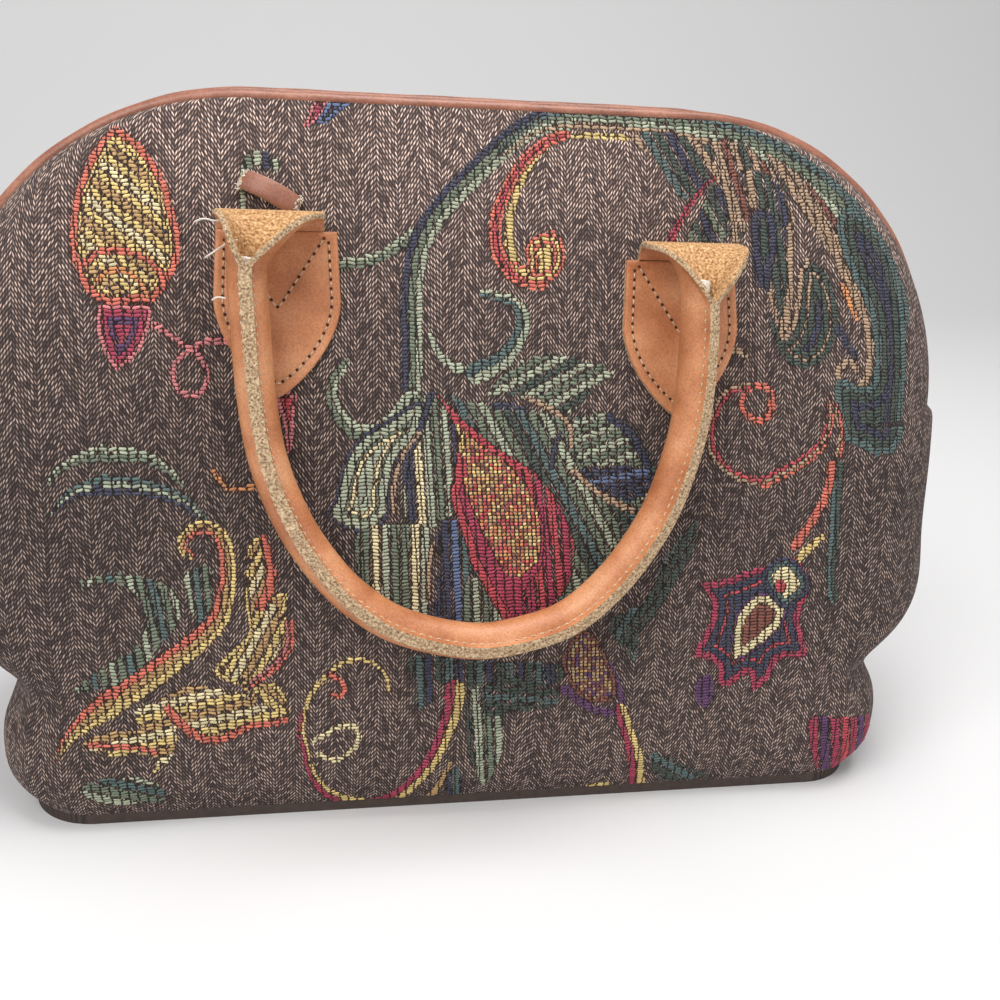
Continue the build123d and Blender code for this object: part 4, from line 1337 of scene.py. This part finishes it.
def sew_roll(name, look, turned, body):
    """Thread that closes the roll, along both sides of its seam."""
    line, closed, turn = strap_line()
    way, wide, seam = strap_frames(line, closed, turn)
    rolled = np.flatnonzero(closed == 1)[seam_ends:-seam_ends]
    x, y, slope = roll_section(1.0, seam_samples)
    length = np.linspace(-strap_half, strap_half, seam_samples)
    places, ways, normals = [], [], []
    for side in (-1, 1):
        k = int(np.argmin(np.abs(length - side * (strap_half - seam_inset))))
        out = np.array((math.sin(slope[k]), -math.cos(slope[k])))
        at = np.array((x[k], y[k] - roll_middle)) + out * (leather / 2 + seam_lift)
        row = line + at[0] * wide + at[1] * seam
        count = int(run_length(row[rolled]) / stitch_pitch)
        pick = np.interp(np.linspace(0, 1, count), np.linspace(0, 1, len(rolled)), rolled)
        near = pick.astype(int)
        places.append(np.stack([np.interp(pick, np.arange(len(row)), row[:, c]) for c in range(3)], -1))
        ways.append(way[near])
        normals.append(out[0] * wide[near] + out[1] * seam[near])
    places, ways, normals = (placed(np.vstack(a), turned) for a in (places, ways, normals))
    make_stitches(name, places, ways, normals, look, body)


def make_handle(place, turned, looks):
    """One handle with its core, seam, leaves and stitches."""
    body = place + "_handle_body"
    strap = make_strap(place + "_strap", (looks["tan"], looks["flesh"], looks["raw"]), turned)
    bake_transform(strap)
    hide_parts(place + "_handle")
    if not turned:
        ends = make_thread_ends("left_thread_ends", looks["cotton"])
        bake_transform(ends)
    line, closed, _ = strap_line()
    rolled = np.flatnonzero(closed == 1)
    inner = placed(line[rolled[0] - core_past[0] : rolled[-1] + core_past[1] + 1], turned)
    core = make_tubes(place + "_strap_core", [inner], core_radius, core_sides, looks["cotton"], body)
    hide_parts(place + "_handle_core")
    sew_roll(place + "_seam_stitches", looks["thread"], turned, body)
    for end_name, other in (("left", "right"), ("right", "left")):
        side = other if turned else end_name
        leaf = make_leaf(f"{place}_{side}_leaf", end_name, (looks["tan"], looks["raw"]), turned)
        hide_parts(f"{place}_{side}_patch")
        sew_leaf(f"{place}_{side}_leaf", end_name, looks, turned)


# Keeper


def keeper_frame():
    """Middle of the keeper on the cloth, with its length, width and outward axes."""
    p, along, up, normal = (a[0] for a in panel_frame(*np.array(keeper_at)[:, None]))
    run = along * math.cos(keeper_tilt) + up * math.sin(keeper_tilt)
    return p, run, np.cross(normal, run), normal


def make_keeper(name, looks):
    """Loose strip arched over the cloth, with pale worn ends."""
    p, run, side, normal = keeper_frame()
    t = np.linspace(-1, 1, keeper_sections)
    arch = keeper_rise * (1 - np.abs(t) ** 2.6) + keeper_lift
    x = t * keeper_half_length * (1 - 0.06 * np.cos(t * 3))
    tangent = unit(np.stack([np.gradient(x), np.gradient(arch)], -1))
    width = keeper_half_width * (1 + 0.05 * t)
    rings = []
    for k in range(len(t)):
        for w, h in keeper_section:
            over = tangent[k] * h * keeper_thickness
            rings.append(p + run * (x[k] - over[1]) + normal * (arch[k] + over[0]) + side * w * width[k])
    count = len(keeper_section)
    row, column = np.divmod(np.arange((len(t) - 1) * count), count)
    grain = (column >= keeper_grain[0]) & (column <= keeper_grain[1])
    middle = (row >= keeper_worn_rows) & (row < len(t) - 1 - keeper_worn_rows)
    slot = np.append(~(grain & middle), [True, True])
    return add_piece(name, rings, tube_faces(len(t), count), looks, "bag", slot, keeper_sharp)


def make_fray(name, look):
    """Short pale fibres that stand out of the keeper's worn ends."""
    p, run, side, normal = keeper_frame()
    draw = np.random.default_rng(fray_seed).uniform
    lines = []
    for end in [-1] * fray_count + [1] * fray_count:
        foot = p + run * end * keeper_half_length * fray_share + side * draw(-1, 1) * keeper_half_width
        foot = foot + normal * draw(0.4, 2.6)
        way = run * end * draw(0.2, 1) + side * draw(-0.7, 0.7) + normal * draw(0, 0.7)
        bend = side * draw(-0.6, 0.6) + normal * draw(-0.4, 0.3)
        size = fray_length * draw(0.35, 1)
        lines.append([foot, foot + way * size / 2, foot + (way + bend) * size])
    return make_tubes(name, lines, fray_radius, fray_sides, look, "bag")


# The whole bag


def make_looks():
    """The materials, with screen colours from dark to pale."""
    return {
        "cloth": cloth_material("herringbone", (44, 34, 33), (112, 94, 87), (206, 180, 166)),
        "threads": thread_material(),
        "tan": leather_material("tan_grain", (164, 96, 58), (200, 132, 88), (220, 160, 116)),
        "flesh": rough_material("flesh_side", (122, 80, 48), (186, 140, 92), (218, 184, 138), 1100.0),
        "raw": rough_material("raw_edge", (108, 84, 60), (182, 152, 118), (222, 196, 160), 1300.0, 1.0),
        "rosy": leather_material("rosy_grain", (120, 70, 52), (152, 96, 74), (178, 122, 98), 0.38, 1000.0),
        "brown": leather_material("keeper_grain", (122, 74, 56), (150, 98, 78), (172, 122, 100), 0.5),
        "thread": woven_material("sewing_thread", (176, 132, 92), (232, 204, 170), 0.5),
        # Painted shade: this dark colour stands for the shade inside the needle holes
        "hole": rough_material("needle_hole", (40, 22, 12), (58, 32, 18), (80, 46, 26), 900.0),
        "cotton": woven_material("core_cotton", (196, 186, 170), (240, 234, 224), 0.9),
        "tape": woven_material("zip_weave", (46, 34, 32), (92, 72, 66), 0.8),
        "lining": woven_material("lining_weave", (96, 84, 70), (150, 134, 114), 0.7),
        "board": rough_material("board", (122, 96, 66), (150, 122, 88), (172, 146, 110), 500.0),
        "under": woven_material("base_weave", (34, 28, 27), (74, 62, 56), 1.2),
        "brass": metal_material("dull_brass", (96, 74, 44), (160, 130, 84), 0.38),
        "dark_metal": metal_material("dark_teeth", (38, 30, 28), (92, 76, 66), 0.45),
    }


def make_wall(place, turned, floats, looks):
    """Front or back of the bag: cloth with its raised threads, bead, teeth and tape."""
    panel = make_panel(place + "_cloth", looks["cloth"], turned)
    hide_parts(place + "_panel")
    half = len(floats) // 2
    low = make_floats(place + "_threads_low", floats[:half], looks["threads"], turned)
    high = make_floats(place + "_threads_high", floats[half:], looks["threads"], turned)
    piping = make_piping(place + "_bead", looks["rosy"], turned)
    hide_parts(place + "_piping")
    teeth = make_teeth(place + "_teeth", looks["dark_metal"], turned)
    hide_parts(place + "_zip_teeth")
    dress(looks["tape"], place + "_zip_tape")


def main():
    bpy.context.scene.view_settings.view_transform = "Standard"
    make_camera()
    make_stage()
    looks = make_looks()
    floats = lay_floats()
    walls = {"front": False, "back": True}
    for place, turned in walls.items():
        make_wall(place, turned, floats, looks)
    for place, turned in walls.items():
        make_handle(place, turned, looks)
    keeper = make_keeper("keeper_strip", (looks["brown"], looks["raw"]))
    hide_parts("keeper_loop")
    make_fray("keeper_fray", looks["cotton"])
    dress(looks["lining"], "lining")
    dress(looks["under"], "base_panel")
    dress(looks["board"], "base_board")
    dress(looks["brass"], "left_zip_stop", "right_zip_stop", "zip_slider", "zip_pull")
    dress(looks["rosy"], "left_zip_end_tab", "right_zip_end_tab")


main()
